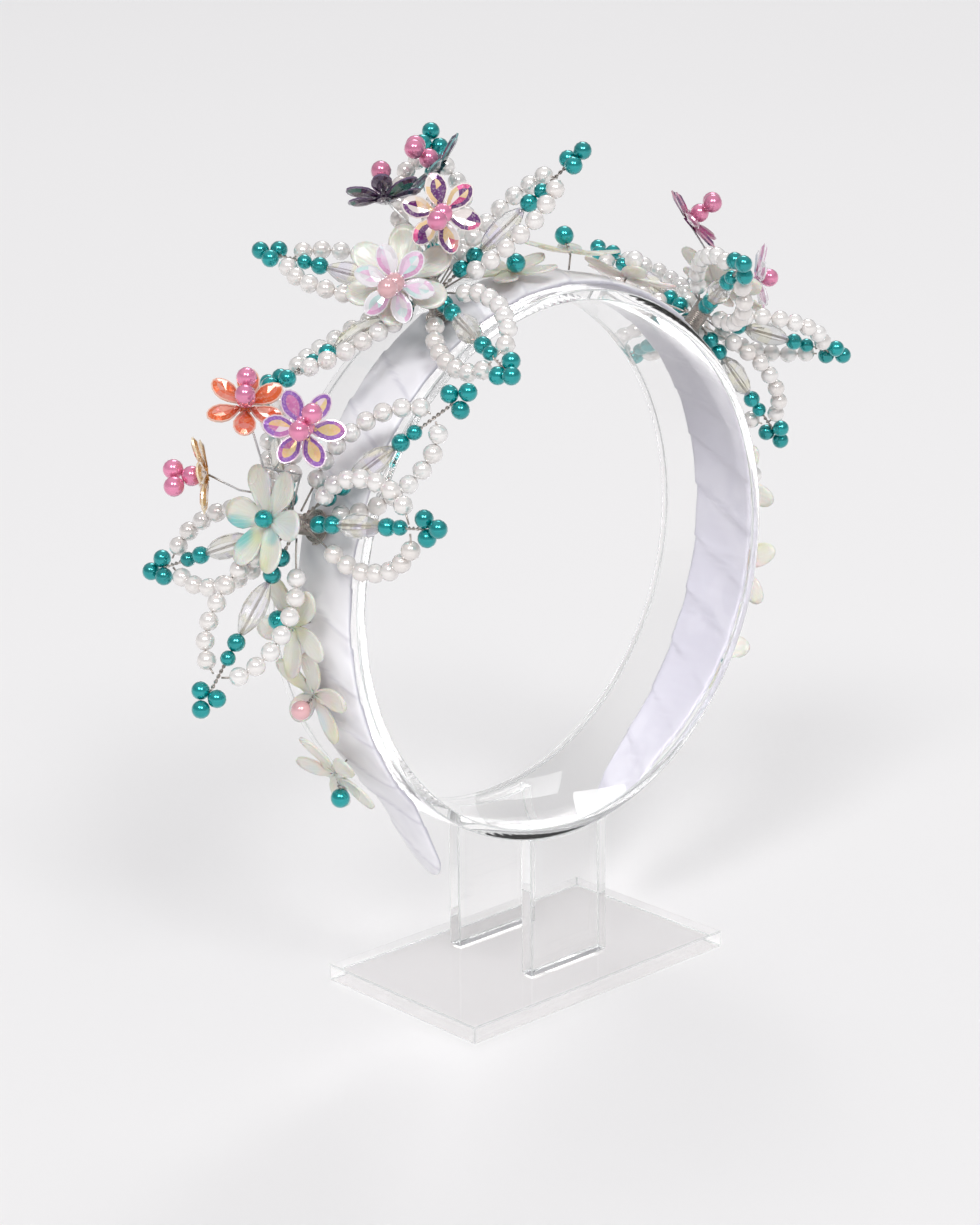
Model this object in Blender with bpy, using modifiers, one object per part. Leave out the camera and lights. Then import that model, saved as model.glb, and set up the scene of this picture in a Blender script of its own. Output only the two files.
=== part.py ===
"""Tembleque headband on its plain clear acrylic stand.

Metres, +Z up. The origin is the middle of the underside of the base plate. X runs from ear to
ear and the front of the stand faces -Y. The hoop's axis is Y. A place on the hoop is given by
its angle from +X, so 90 degrees is the top and 180 degrees the -X side. At such a place "along"
is the way the angle grows, "across" is +Y and "out" points away from the hoop's middle.
"""

import math

import bmesh
import bpy
from mathutils import Matrix, Vector

MM = 0.001

# Clearance between pieces that touch or are glued on the real object
GAP = 0.3 * MM

# Acrylic stand
BASE_LENGTH = 80 * MM
BASE_DEPTH = 50 * MM
BASE_THICK = 4 * MM
BASE_EDGE = 0.4 * MM
POST_WIDTH = 24 * MM
POST_THICK = 3.4 * MM
POST_INSET = 1 * MM
HOOP_OUTER = 125 * MM
HOOP_WALL = 2.5 * MM
HOOP_WIDTH = 30 * MM
HOOP_DROP_TO_BASE = 33 * MM
HOOP_STEPS = 48

# Satin band
BAND_WIDTH = 17.5 * MM
BAND_THICK = 2 * MM
BAND_DOME = 0.6 * MM
BAND_MIDDLE = -4 * MM
BAND_SKEW = 0.025
BAND_RIGHT_TIP = -72
BAND_LEFT_TIP = 243
RIGHT_LEAVES = -55
LEFT_LEAVES = 225
RIGHT_FLARE = 4 * MM
LEFT_FLARE = 9.5 * MM
TAIL_TAPER = 55
TAIL_WIDTH_SHARE = 0.48
TIP_ROUND = 4.5
TIP_BLUNT = 0.6
FLARE_POWER = 1.4
BAND_STEPS = 46
BAND_LANES = 2

# Beads and wire
PEARL = 4 * MM
TEAL = 4 * MM
TEAL_SMALL = 3.4 * MM
RICE_LENGTH = 12 * MM
RICE_THICK = 6 * MM
RICE_NECK = 1.8 * MM
WIRE = 0.6 * MM
BEAD_SIDES = 10
BEAD_ROWS = 3
# Shares of a bead's diameter: its shoulder from its end, its dip into the next one, its drawn width
BEAD_SHOULDER = 0.25
BEAD_DIP = 0.1
BEAD_FULL = 0.95
ROUND_STEPS = 10

# Wire binding that carries each cluster
HUB_THICK = 4.4 * MM
HUB_FOOT = 8 * MM
HUB_FOOT_RISE = 0.8 * MM
HUB_RISE = 9.4 * MM
HUB_WIRES = 6 * MM
HUB_STEMS = 8.2 * MM
HUB_CROWN = 0.7
HUB_CHAMFER = 0.4

# Beaded petal: a string of pearls round a straight strand of cut and round beads
LOOP_FOOT = 4.6 * MM
LOOP_OPEN = 34
LOOP_CLOSE = 156
CROSSING = 1 * MM
LOOP_POINTS = 4
LOOP_NECK = 0.6
TWIST_SHARE = 0.6
WIRE_PITCH = 1.05 * MM
TIP_SPREAD = 1.75 * MM
TIP_REACH = 2.9 * MM

# Steps round the rim of one petal of any flower, and how blunt its round end is
PETAL_STEPS = 4
LOBE_POWER = 0.55

# Large cupped flower of each cluster
FLOWER_RADIUS = 12 * MM
FLOWER_NOTCH = 4.2 * MM
FLOWER_CUP = 2.6 * MM
FLOWER_THICK = 0.9 * MM
FLOWER_PETALS = 6
FLOWER_RINGS = 2

# Small faceted blooms that tremble on wire stems
BLOOM_RADIUS = 8.2 * MM
BLOOM_NOTCH = 1.9 * MM
BLOOM_CUP = 1.4 * MM
BLOOM_THICK = 1.2 * MM
BLOOM_PETALS = 6
PINK_PEARL = 4 * MM
STEM_CLEAR = 1.6 * MM
# Shares of a pink pearl's diameter: its seat on the bloom, and the next ones' step up and aside
HEART_SEAT = 0.58
HEART_STEP = 0.7
HEART_TRIO = 0.45
HEART_PAIR = 0.5

# Thin flowers sewn along the band
SPRAY_RADIUS = 11 * MM
SPRAY_NOTCH = 3.2 * MM
SPRAY_CUP = 1.2 * MM
SPRAY_THICK = 0.8 * MM
SPRAY_PETALS = 5
SPRAY_BEAD = 4.6 * MM

HOOP_RADIUS = HOOP_OUTER / 2
HOOP_HEIGHT = BASE_THICK + HOOP_DROP_TO_BASE + HOOP_RADIUS
BAND_INNER = HOOP_RADIUS + GAP
BAND_OUTER = BAND_INNER + BAND_DOME + BAND_THICK
HUB_BASE = BAND_OUTER + GAP
WIRE_LEVEL = HUB_BASE + HUB_WIRES
STEM_LEVEL = HUB_BASE + HUB_STEMS
HUB_TOP = HUB_BASE + HUB_RISE

# Clusters: angle on the hoop, place across it, and where the large flower sits over its binding
CLUSTERS = (
    # name, hoop, across, flower_way, flower_off, flower_rise, lean_way, lean, flower_bead
    ("low", 163, -3, 0, 0, 2, 0, 0, "teal"),
    ("high", 115, -4, -12, 7.8, 3.4, -60, 36, None),
    ("far", 43, -4, 0, 0, 3.5, 0, 0, None),
)

# Beaded petals: way in degrees from "along" towards "across", climb from the tangent plane,
# reach from the binding's middle to the tip beads, height of the foot over the others, roll
# about the strand, whether the pearls cross the strand on its outer side, and half the width
# of the pearl string
PETALS = (
    # cluster, letter, way, climb, reach, foot_rise, roll, over, half
    ("low", "a", -99, -2, 38, 0, 20, 1, 10),
    ("low", "b", -138, -14, 44, 0, 25, 1, 8),
    ("low", "c", 4, 17, 40, 0, -30, 1, 8),
    ("low", "d", 64, 8, 38, 0, 0, 1, 8),
    ("low", "e", 132, -14, 38, 0, -20, 1, 8),
    ("high", "a", 72, 18, 38, 0, 5, -1, 8),
    ("high", "b", 14, 1, 38, 0, 15, -1, 8),
    ("high", "c", -67, -6, 38, 0, 25, 1, 8),
    ("high", "d", -151, 21, 40, 0, 0, -1, 8),
    ("high", "e", 146, 30, 37, 0, 45, -1, 8),
    ("far", "a", -50, -3, 38, 0, -25, 1, 8),
    ("far", "b", -161, 26, 38, 1, -20, -1, 8),
    ("far", "c", -174, -7, 38, -1.6, -25, -1, 8),
    ("far", "d", 121, 1, 38, 0, -25, 1, 8),
    ("far", "e", 84, 16, 37, 0, -45, 1, 8),
)

# Blooms: what carries the stem, where the stem comes up through the large flower, way and
# distance from the binding, height over the wires, and the compass way and climb it faces
BLOOMS = (
    # cluster, colour, carrier, exit_way, exit_off, way, off, height, face_way, face_climb, pearls
    ("low", "orange", "binding", 171, 10.5, 166, 22.6, 15, -125, 50, 3),
    ("low", "violet", "binding", 189, 10.5, 210, 23.2, 13, -125, 25, 3),
    ("low", "gold", "binding", 120, 9, 117, 14, 16, 140, -5, 3),
    ("high", "dark", "binding", 163, 3.6, 97, 4.8, 22.5, 60, 60, 2),
    ("high", "teal", "binding", 180, 4, 162, 18.5, 19.5, 137, 40, 3),
    ("high", "violet", "binding", 195, 4.3, 250, 9.2, 18.5, -125, 10, 2),
    ("high", "pale", "flower", 0, 0, -25, 13.5, 10.5, -130, 16, 2),
    ("far", "violet", "binding", 0, 9, 8, 16.6, 14, -43, 40, 3),
    ("far", "pale", "flower", 0, 0, 172, 10.5, 19.5, -43, 0, 1),
)

# Flowers along the band: place on the hoop and across it, height over the band so that each
# lies over or under the next, turn of the petals, and the way, climb and length of the wire
# that carries the bead
SPRAYS = (
    # name, hoop, across, rise, turn, wire_way, wire_climb, wire_length
    ("left_low", 212, -2, 2.8, 20, 0, 25, 6.5),
    ("left_mid", 195, -3, 0.4, 50, 30, 55, 5),
    ("left_high", 181, -3, 3.2, 5, 120, 45, 4),
    ("top_left", 97, -4, 0.4, 30, -70, 35, 6),
    ("top_mid", 81, -4, 2.8, 60, 100, 50, 5),
    ("top_right", 65, -4, 0.4, 15, -60, 60, 5),
    ("right_high", 5, -3, 0.4, 40, -60, 50, 5),
    ("right_mid", -12, -3, 2.8, 10, 60, 50, 5),
    ("right_low", -29, -3, 0.4, 60, 180, 40, 5),
)

# Colour, roughness, metallic
FINISHES = {
    "acrylic": ((0.90, 0.93, 0.95), 0.05, 0.0),
    "satin": ((0.84, 0.83, 0.92), 0.38, 0.0),
    "wire": ((0.42, 0.35, 0.31), 0.35, 1.0),
    "pearl": ((0.91, 0.87, 0.86), 0.22, 0.0),
    "strand": ((0.00, 0.34, 0.34), 0.18, 0.0),
    "cream": ((0.90, 0.90, 0.80), 0.35, 0.0),
    "orange": ((0.90, 0.24, 0.08), 0.12, 0.0),
    "violet": ((0.52, 0.24, 0.62), 0.12, 0.0),
    "gold": ((0.90, 0.62, 0.28), 0.12, 0.0),
    "dark": ((0.13, 0.11, 0.21), 0.12, 0.0),
    "teal": ((0.03, 0.32, 0.34), 0.12, 0.0),
    "pale": ((0.92, 0.72, 0.86), 0.12, 0.0),
}


def clear_scene():
    for obj in list(bpy.data.objects):
        bpy.data.objects.remove(obj, do_unlink=True)
    for group in list(bpy.data.collections):
        bpy.data.collections.remove(group)


def new_collection(name):
    group = bpy.data.collections.new(name)
    bpy.context.scene.collection.children.link(group)
    return group


def finish(obj, kind):
    """Gives the object a material of its own in one of the named finishes."""
    colour, roughness, metallic = FINISHES[kind]
    material = bpy.data.materials.new(obj.name + "_finish")
    material.use_nodes = True
    shader = material.node_tree.nodes["Principled BSDF"]
    shader.inputs["Base Color"].default_value = (*colour, 1)
    shader.inputs["Roughness"].default_value = roughness
    shader.inputs["Metallic"].default_value = metallic
    obj.data.materials.clear()
    obj.data.materials.append(material)
    if obj.type == "MESH":
        obj.data.shade_smooth()
        obj.data.set_sharp_from_angle(angle=math.radians(40))


def mesh_object(name, bm, group):
    mesh = bpy.data.meshes.new(name)
    bm.to_mesh(mesh)
    bm.free()
    obj = bpy.data.objects.new(name, mesh)
    group.objects.link(obj)
    return obj


def place(obj, origin, axis, start=None):
    """Puts the object at the origin with its own Z along the axis and its X towards the start."""
    first = (start or axis.orthogonal()).cross(axis).normalized()
    frame = Matrix((axis.cross(first), -first, axis)).transposed()
    obj.matrix_world = Matrix.Translation(origin) @ frame.to_4x4()
    return obj


def baked(obj):
    """The object's evaluated shape as a plain mesh object in its place, with caps welded."""
    bpy.context.view_layer.update()
    graph = bpy.context.evaluated_depsgraph_get()
    mesh = bpy.data.meshes.new_from_object(obj.evaluated_get(graph))
    bm = bmesh.new()
    bm.from_mesh(mesh)
    bmesh.ops.remove_doubles(bm, verts=bm.verts, dist=0.001 * MM)
    bmesh.ops.recalc_face_normals(bm, faces=bm.faces)
    bm.to_mesh(mesh)
    bm.free()
    name = obj.name
    group = obj.users_collection[0]
    matrix = obj.matrix_world.copy()
    bpy.data.objects.remove(obj, do_unlink=True)
    solid = bpy.data.objects.new(name, mesh)
    solid.matrix_world = matrix
    group.objects.link(solid)
    return solid


def fused(first, *others):
    """One closed body made of shapes that overlap."""
    solid = baked(first)
    for other in others:
        other = baked(other)
        joint = solid.modifiers.new("union", "BOOLEAN")
        joint.operation = "UNION"
        joint.solver = "EXACT"
        joint.object = other
        solid = baked(solid)
        bpy.data.objects.remove(other, do_unlink=True)
    return solid


def tube(name, group, points, diameters, resolution=2):
    """A closed tube through the points, as thick at each as its diameter there."""
    curve = bpy.data.curves.new(name, "CURVE")
    curve.dimensions = "3D"
    curve.bevel_depth = WIRE / 2
    curve.bevel_resolution = resolution
    curve.use_fill_caps = True
    spline = curve.splines.new("POLY")
    spline.points.add(len(points) - 1)
    for knot, point, diameter in zip(spline.points, points, diameters):
        knot.co = (*point, 1)
        knot.radius = diameter / WIRE
    obj = bpy.data.objects.new(name, curve)
    group.objects.link(obj)
    return obj


def ball(name, group, centre, diameter, axis=Vector((0, 0, 1))):
    bm = bmesh.new()
    bmesh.ops.create_uvsphere(bm, u_segments=BEAD_SIDES, v_segments=BEAD_ROWS, radius=diameter / 2)
    widest = math.cos(math.pi / 2 / BEAD_ROWS)
    bmesh.ops.scale(bm, verts=bm.verts, vec=(1 / widest, 1 / widest, 1))
    return place(mesh_object(name, bm, group), centre, axis)


def turned(name, group, profile, steps):
    """A profile at +X, from top to bottom, turned about Z. Rows hold radius and height."""
    bm = bmesh.new()
    knots = [bm.verts.new((radius, 0, height)) for radius, height in profile]
    for first, second in zip(knots, knots[1:]):
        bm.edges.new((first, second))
    obj = mesh_object(name, bm, group)
    screw = obj.modifiers.new("turn", "SCREW")
    screw.steps = steps
    screw.render_steps = steps
    screw.use_merge_vertices = True
    screw.merge_threshold = 0.01 * MM
    return obj


def hoop_point(degrees, radius, across=0.0):
    angle = math.radians(degrees)
    return Vector((radius * math.cos(angle), across, HOOP_HEIGHT + radius * math.sin(angle)))


def hoop_ways(degrees):
    """The unit ways along, across and out at a place on the hoop."""
    angle = math.radians(degrees)
    along = Vector((-math.sin(angle), 0, math.cos(angle)))
    return along, Vector((0, 1, 0)), Vector((math.cos(angle), 0, math.sin(angle)))


def way_from(ways, degrees, climb):
    """A unit way at this turn from along towards across, climbing outward."""
    along, across, out = ways
    turn = math.radians(degrees)
    rise = math.radians(climb)
    level = along * math.cos(turn) + across * math.sin(turn)
    return level * math.cos(rise) + out * math.sin(rise)


def compass_way(degrees, climb):
    turn = math.radians(degrees)
    rise = math.radians(climb)
    return Vector((math.cos(turn) * math.cos(rise), math.sin(turn) * math.cos(rise), math.sin(rise)))


def petal_disc(name, group, count, rings, radius, notch, cup, thick):
    """A cupped flower of round petals: a polar grid with a lobed rim, thickened both ways."""
    bm = bmesh.new()
    bmesh.ops.create_grid(bm, x_segments=count * PETAL_STEPS, y_segments=rings, size=0.5)
    for vert in bm.verts:
        turn = 2 * math.pi * (vert.co.x + 0.5)
        share = vert.co.y + 0.5
        lobe = abs(math.cos(turn * count / 2)) ** LOBE_POWER
        reach = share * (notch + (radius - notch) * lobe)
        lift = cup * (reach / radius) ** 2
        vert.co = (reach * math.cos(turn), reach * math.sin(turn), lift)
    bmesh.ops.remove_doubles(bm, verts=bm.verts, dist=0.001 * MM)
    bmesh.ops.recalc_face_normals(bm, faces=bm.faces)
    obj = mesh_object(name, bm, group)
    wall = obj.modifiers.new("wall", "SOLIDIFY")
    wall.thickness = thick
    wall.offset = 0
    return obj


def make_base(group):
    bm = bmesh.new()
    bmesh.ops.create_cube(bm, size=1)
    bmesh.ops.scale(bm, verts=bm.verts, vec=(BASE_LENGTH, BASE_DEPTH, BASE_THICK))
    base = mesh_object("stand_base", bm, group)
    base.location.z = BASE_THICK / 2
    edge = base.modifiers.new("edge", "BEVEL")
    edge.width = BASE_EDGE
    edge.segments = 1
    finish(base, "acrylic")


def make_posts(group, cutters):
    """Two upright plates whose tops are cut hollow to the hoop."""
    bm = bmesh.new()
    bmesh.ops.create_cone(
        bm,
        cap_ends=True,
        segments=HOOP_STEPS,
        radius1=HOOP_RADIUS + GAP,
        radius2=HOOP_RADIUS + GAP,
        depth=HOOP_WIDTH * 2,
    )
    cutter = mesh_object("hoop_seat", bm, cutters)
    cutter.rotation_euler.x = math.pi / 2
    cutter.location.z = HOOP_HEIGHT
    cutter.hide_render = True
    cutter.display_type = "WIRE"
    foot = BASE_THICK + GAP
    height = HOOP_HEIGHT - HOOP_RADIUS / 2 - foot
    outer = HOOP_WIDTH / 2 - POST_INSET
    for name, side in (("front", -1), ("back", 1)):
        bm = bmesh.new()
        bmesh.ops.create_cube(bm, size=1)
        bmesh.ops.scale(bm, verts=bm.verts, vec=(POST_WIDTH, POST_THICK, height))
        post = mesh_object("stand_post_" + name, bm, group)
        post.location = (0, side * (outer - POST_THICK / 2), foot + height / 2)
        cut = post.modifiers.new("seat", "BOOLEAN")
        cut.operation = "DIFFERENCE"
        cut.solver = "EXACT"
        cut.object = cutter
        finish(post, "acrylic")


def make_hoop(group):
    inner = HOOP_RADIUS - HOOP_WALL
    half = HOOP_WIDTH / 2
    section = ((HOOP_RADIUS, half), (HOOP_RADIUS, -half), (inner, -half), (inner, half), (HOOP_RADIUS, half))
    hoop = turned("stand_hoop", group, section, HOOP_STEPS)
    weld = hoop.modifiers.new("seam", "WELD")
    weld.merge_threshold = 0.01 * MM
    hoop.rotation_euler.x = -math.pi / 2
    hoop.location.z = HOOP_HEIGHT
    finish(hoop, "acrylic")


def band_radius(degrees):
    """Inner radius of the band: it hugs the hoop and its tails flare away below."""
    if degrees > LEFT_LEAVES:
        share = (degrees - LEFT_LEAVES) / (BAND_LEFT_TIP - LEFT_LEAVES)
        return BAND_INNER + LEFT_FLARE * share**FLARE_POWER
    if degrees < RIGHT_LEAVES:
        share = (RIGHT_LEAVES - degrees) / (RIGHT_LEAVES - BAND_RIGHT_TIP)
        return BAND_INNER + RIGHT_FLARE * share**FLARE_POWER
    return BAND_INNER


def band_half_width(degrees):
    """Half the width: full over the head, narrowing down the tails to round tips."""
    to_tip = min(degrees - BAND_RIGHT_TIP, BAND_LEFT_TIP - degrees)
    taper = max(0.0, 1 - to_tip / TAIL_TAPER)
    half = BAND_WIDTH / 2 * (1 - (1 - TAIL_WIDTH_SHARE) * taper**2)
    turn = min(1.0, (to_tip + TIP_BLUNT) / TIP_ROUND)
    return half * math.sqrt(1 - (1 - turn) ** 2)


def band_middle(degrees):
    return BAND_MIDDLE + BAND_SKEW * HOOP_RADIUS * math.cos(math.radians(degrees))


def make_band(group):
    bm = bmesh.new()
    bmesh.ops.create_grid(bm, x_segments=BAND_STEPS, y_segments=BAND_LANES, size=0.5)
    for vert in bm.verts:
        degrees = BAND_RIGHT_TIP + (BAND_LEFT_TIP - BAND_RIGHT_TIP) * (vert.co.x + 0.5)
        side = vert.co.y * 2
        radius = band_radius(degrees) + BAND_DOME * (1 - side**2)
        vert.co = hoop_point(degrees, radius, band_middle(degrees) + side * band_half_width(degrees))
    bmesh.ops.reverse_faces(bm, faces=bm.faces)
    band = mesh_object("satin_band", bm, group)
    wall = band.modifiers.new("wall", "SOLIDIFY")
    wall.thickness = BAND_THICK
    wall.offset = 1
    finish(band, "satin")


def make_hub(group, cluster):
    """The wound wire that binds a cluster's wires and stands on the band."""
    half = HUB_THICK / 2
    profile = (
        (0, HUB_RISE),
        (half * HUB_CROWN, HUB_RISE),
        (half, HUB_RISE - half * HUB_CHAMFER),
        (half, HUB_FOOT_RISE * 2),
        (HUB_FOOT / 2, HUB_FOOT_RISE),
        (HUB_FOOT / 2, 0),
        (0, 0),
    )
    hub = turned(cluster["name"] + "_binding", group, profile, ROUND_STEPS)
    place(hub, hoop_point(cluster["hoop"], HUB_BASE, cluster["across"]), cluster["ways"][2])
    finish(hub, "wire")


def make_large_flower(group, cluster):
    """The cupped flower over the binding, on its own short wire."""
    name = cluster["name"] + "_flower"
    out = cluster["ways"][2]
    foot = cluster["top"] + out * GAP
    straight = foot + out * WIRE
    off = way_from(cluster["ways"], cluster["flower_way"], 0) * cluster["flower_off"]
    middle = foot + off + out * (cluster["flower_rise"] + FLOWER_THICK)
    face = way_from(cluster["ways"], cluster["lean_way"], 90 - cluster["lean"])
    disc = petal_disc(
        name,
        group,
        FLOWER_PETALS,
        FLOWER_RINGS,
        FLOWER_RADIUS,
        FLOWER_NOTCH,
        FLOWER_CUP,
        FLOWER_THICK,
    )
    place(disc, middle, face, way_from(cluster["ways"], 180 / FLOWER_PETALS, 0))
    cluster["flower_face"] = middle + face * (FLOWER_THICK / 2 + GAP)
    cluster["flower_neck"] = cluster["flower_face"] + face * WIRE * 2
    stem = tube(name + "_wire", group, (foot, straight, middle + face * WIRE / 2), (WIRE,) * 3, 1)
    pieces = [disc, stem]
    if cluster["flower_bead"]:
        pieces.append(ball(name + "_bead", group, middle + face * TEAL / 2, TEAL, face))
    finish(fused(*pieces), "cream")


def strand_ways(ways, aim, roll):
    """The side and the outward way of a petal that lies along the aim."""
    side = ways[2].cross(aim).normalized()
    face = aim.cross(side)
    spin = Matrix.Rotation(math.radians(roll), 3, aim)
    return spin @ side, spin @ face


def make_beaded_petal(group, cluster, petal):
    """A pearl string bent to a leaf, and the straight strand of beads inside it."""
    name = cluster["name"] + "_petal_" + petal["letter"]
    ways = cluster["ways"]
    level = way_from(ways, petal["way"], 0)
    foot = cluster["wires"] + level * (HUB_THICK / 2 + GAP) + ways[2] * petal["foot_rise"]
    tip = cluster["wires"] + way_from(ways, petal["way"], petal["climb"]) * petal["reach"]
    aim = (tip - foot).normalized()
    side, face = strand_ways(ways, aim, petal["roll"])
    run = (tip - foot).length
    beads = RICE_LENGTH + 3 * TEAL + TEAL_SMALL
    slack = run - beads - TIP_SPREAD
    twist = slack * TWIST_SHARE
    bare = slack - twist
    rice = bare + TEAL * 2
    last = rice + RICE_LENGTH
    stations = [
        # distance from the foot, diameter
        (0, WIRE),
        (bare, WIRE),
        (bare + TEAL * BEAD_SHOULDER, TEAL * BEAD_FULL),
        (rice - TEAL * BEAD_DIP, TEAL * BEAD_FULL),
        (rice, RICE_NECK),
        (rice + RICE_LENGTH / 2, RICE_THICK),
        (last, RICE_NECK),
        (last + TEAL * BEAD_DIP, TEAL * BEAD_FULL),
        (bare + beads - TEAL_SMALL * BEAD_SHOULDER, TEAL_SMALL * BEAD_FULL),
        (bare + beads, WIRE),
        (run, WIRE),
    ]
    points = [foot + aim * far for far, _ in stations]
    heart = tube(name + "_strand", group, points, [size for _, size in stations])
    tips = [
        ball(name + "_tip_1", group, tip + side * TIP_SPREAD, TEAL, aim),
        ball(name + "_tip_2", group, tip - side * TIP_SPREAD, TEAL, aim),
        ball(name + "_tip_3", group, tip + aim * TIP_REACH, TEAL, aim),
    ]
    finish(fused(heart, *tips), "strand")

    cross = run - TIP_SPREAD - twist / 2
    middle = (LOOP_FOOT + cross) / 2
    half = (cross - LOOP_FOOT) / 2
    edge = []
    for index in range(LOOP_POINTS):
        share = index / (LOOP_POINTS - 1)
        turn = math.radians(LOOP_OPEN + (LOOP_CLOSE - LOOP_OPEN) * share)
        edge.append((middle - half * math.cos(turn), petal["half"] * math.sin(turn)))
    first_far, first_off = edge[0]
    neck = 1 - PEARL * LOOP_NECK / math.hypot(first_far, first_off - WIRE_PITCH)
    edge.insert(0, (first_far * neck, WIRE_PITCH + (first_off - WIRE_PITCH) * neck))
    edge.insert(0, (WIRE / 2, WIRE_PITCH))
    over = face * petal["over"] * (WIRE + GAP)
    near_side = [foot + aim * far + side * off for far, off in edge]
    far_side = [foot + aim * far - side * off for far, off in edge]
    near_side.append(foot + aim * cross + side * CROSSING + over)
    far_side.append(foot + aim * cross - side * CROSSING + over)
    sizes = [WIRE, WIRE] + [PEARL] * LOOP_POINTS + [WIRE]
    string = tube(name + "_pearls", group, near_side + far_side[::-1], sizes + sizes[::-1])
    finish(string, "pearl")


def make_bloom(group, cluster, bloom):
    """A faceted bloom with pink pearls at its heart, on a wire from the binding."""
    name = cluster["name"] + "_bloom_" + bloom["colour"]
    ways = cluster["ways"]
    out = ways[2]
    level = way_from(ways, bloom["way"], 0)
    middle = cluster["wires"] + level * bloom["off"] + out * bloom["height"]
    face = compass_way(bloom["face_way"], bloom["face_climb"])
    disc = petal_disc(
        name, group, BLOOM_PETALS, 1, BLOOM_RADIUS, BLOOM_NOTCH, BLOOM_CUP, BLOOM_THICK
    )
    place(disc, middle, face)
    if bloom["carrier"] == "flower":
        route = [cluster["flower_face"], cluster["flower_neck"]]
    else:
        gate = way_from(ways, bloom["exit_way"], 0)
        below = cluster["stems"] + gate * bloom["exit_off"] + out * WIRE
        above = below + out * (cluster["flower_rise"] + HUB_RISE - HUB_STEMS + FLOWER_CUP + STEM_CLEAR)
        route = [cluster["stems"] + gate * (HUB_THICK / 2 + GAP), below, above]
    route.append(middle + face * WIRE)
    stem = tube(name + "_stem", group, route, [WIRE] * len(route), 1)
    side = face.orthogonal().normalized()
    step = face * PINK_PEARL * HEART_STEP
    heart = [middle + face * PINK_PEARL * HEART_SEAT]
    if bloom["pearls"] == 3:
        heart.append(heart[0] + step + side * PINK_PEARL * HEART_TRIO)
        heart.append(heart[0] + step - side * PINK_PEARL * HEART_TRIO)
    elif bloom["pearls"] == 2:
        heart.append(heart[0] + step + side * PINK_PEARL * HEART_PAIR)
    pearls = [
        ball(f"{name}_pearl_{index}", group, point, PINK_PEARL, face)
        for index, point in enumerate(heart)
    ]
    finish(fused(disc, stem, *pearls), bloom["colour"])


def make_spray(group, spray):
    """A thin flower close over the band, on a wire that ends in a bead."""
    name = "band_flower_" + spray["name"]
    ways = hoop_ways(spray["hoop"])
    foot = hoop_point(spray["hoop"], BAND_OUTER + GAP, spray["across"])
    middle = foot + ways[2] * (spray["rise"] + SPRAY_THICK / 2)
    disc = petal_disc(
        name, group, SPRAY_PETALS, 1, SPRAY_RADIUS, SPRAY_NOTCH, SPRAY_CUP, SPRAY_THICK
    )
    place(disc, middle, ways[2], way_from(ways, spray["turn"], 0))
    reach = way_from(ways, spray["wire_way"], spray["wire_climb"]) * spray["wire_length"]
    wire = tube(name + "_wire", group, (foot, middle, middle + reach), (WIRE,) * 3, 1)
    bead = ball(name + "_bead", group, middle + reach, SPRAY_BEAD, ways[2])
    finish(fused(disc, wire, bead), "cream")


def rows(table, *columns):
    return [dict(zip(columns, row)) for row in table]


def in_millimetres(row, *columns):
    for column in columns:
        row[column] *= MM
    return row


def make_clusters(group):
    columns = (
        "name",
        "hoop",
        "across",
        "flower_way",
        "flower_off",
        "flower_rise",
        "lean_way",
        "lean",
        "flower_bead",
    )
    petal_columns = (
        "cluster",
        "letter",
        "way",
        "climb",
        "reach",
        "foot_rise",
        "roll",
        "over",
        "half",
    )
    bloom_columns = (
        "cluster",
        "colour",
        "carrier",
        "exit_way",
        "exit_off",
        "way",
        "off",
        "height",
        "face_way",
        "face_climb",
        "pearls",
    )
    for row in rows(CLUSTERS, *columns):
        cluster = in_millimetres(row, "across", "flower_off", "flower_rise")
        cluster["ways"] = hoop_ways(cluster["hoop"])
        cluster["wires"] = hoop_point(cluster["hoop"], WIRE_LEVEL, cluster["across"])
        cluster["stems"] = hoop_point(cluster["hoop"], STEM_LEVEL, cluster["across"])
        cluster["top"] = hoop_point(cluster["hoop"], HUB_TOP, cluster["across"])
        make_hub(group, cluster)
        make_large_flower(group, cluster)
        for petal in rows(PETALS, *petal_columns):
            if petal["cluster"] == cluster["name"]:
                make_beaded_petal(group, cluster, in_millimetres(petal, "reach", "foot_rise", "half"))
        for bloom in rows(BLOOMS, *bloom_columns):
            if bloom["cluster"] == cluster["name"]:
                make_bloom(group, cluster, in_millimetres(bloom, "exit_off", "off", "height"))


def make_sprays(group):
    columns = ("name", "hoop", "across", "rise", "turn", "wire_way", "wire_climb", "wire_length")
    for row in rows(SPRAYS, *columns):
        make_spray(group, in_millimetres(row, "across", "rise", "wire_length"))


def main():
    clear_scene()
    parts = new_collection("tembleque_headband")
    cutters = new_collection("cutters")
    make_base(parts)
    make_posts(parts, cutters)
    make_hoop(parts)
    make_band(parts)
    make_clusters(parts)
    make_sprays(parts)


main()
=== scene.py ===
"""Looks of the tembleque headband on its clear stand.

Metres, +Z up, in the frame of the solids: the origin is the middle of the underside of the base,
X runs from ear to ear and the front faces -Y. A place on the hoop is its angle from +X. At such a
place "along" is the way the angle grows, "across" is +Y and "out" points away from the middle.
"""

import math
import random

import bmesh
import bpy
from mathutils import Matrix, Vector, noise


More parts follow.
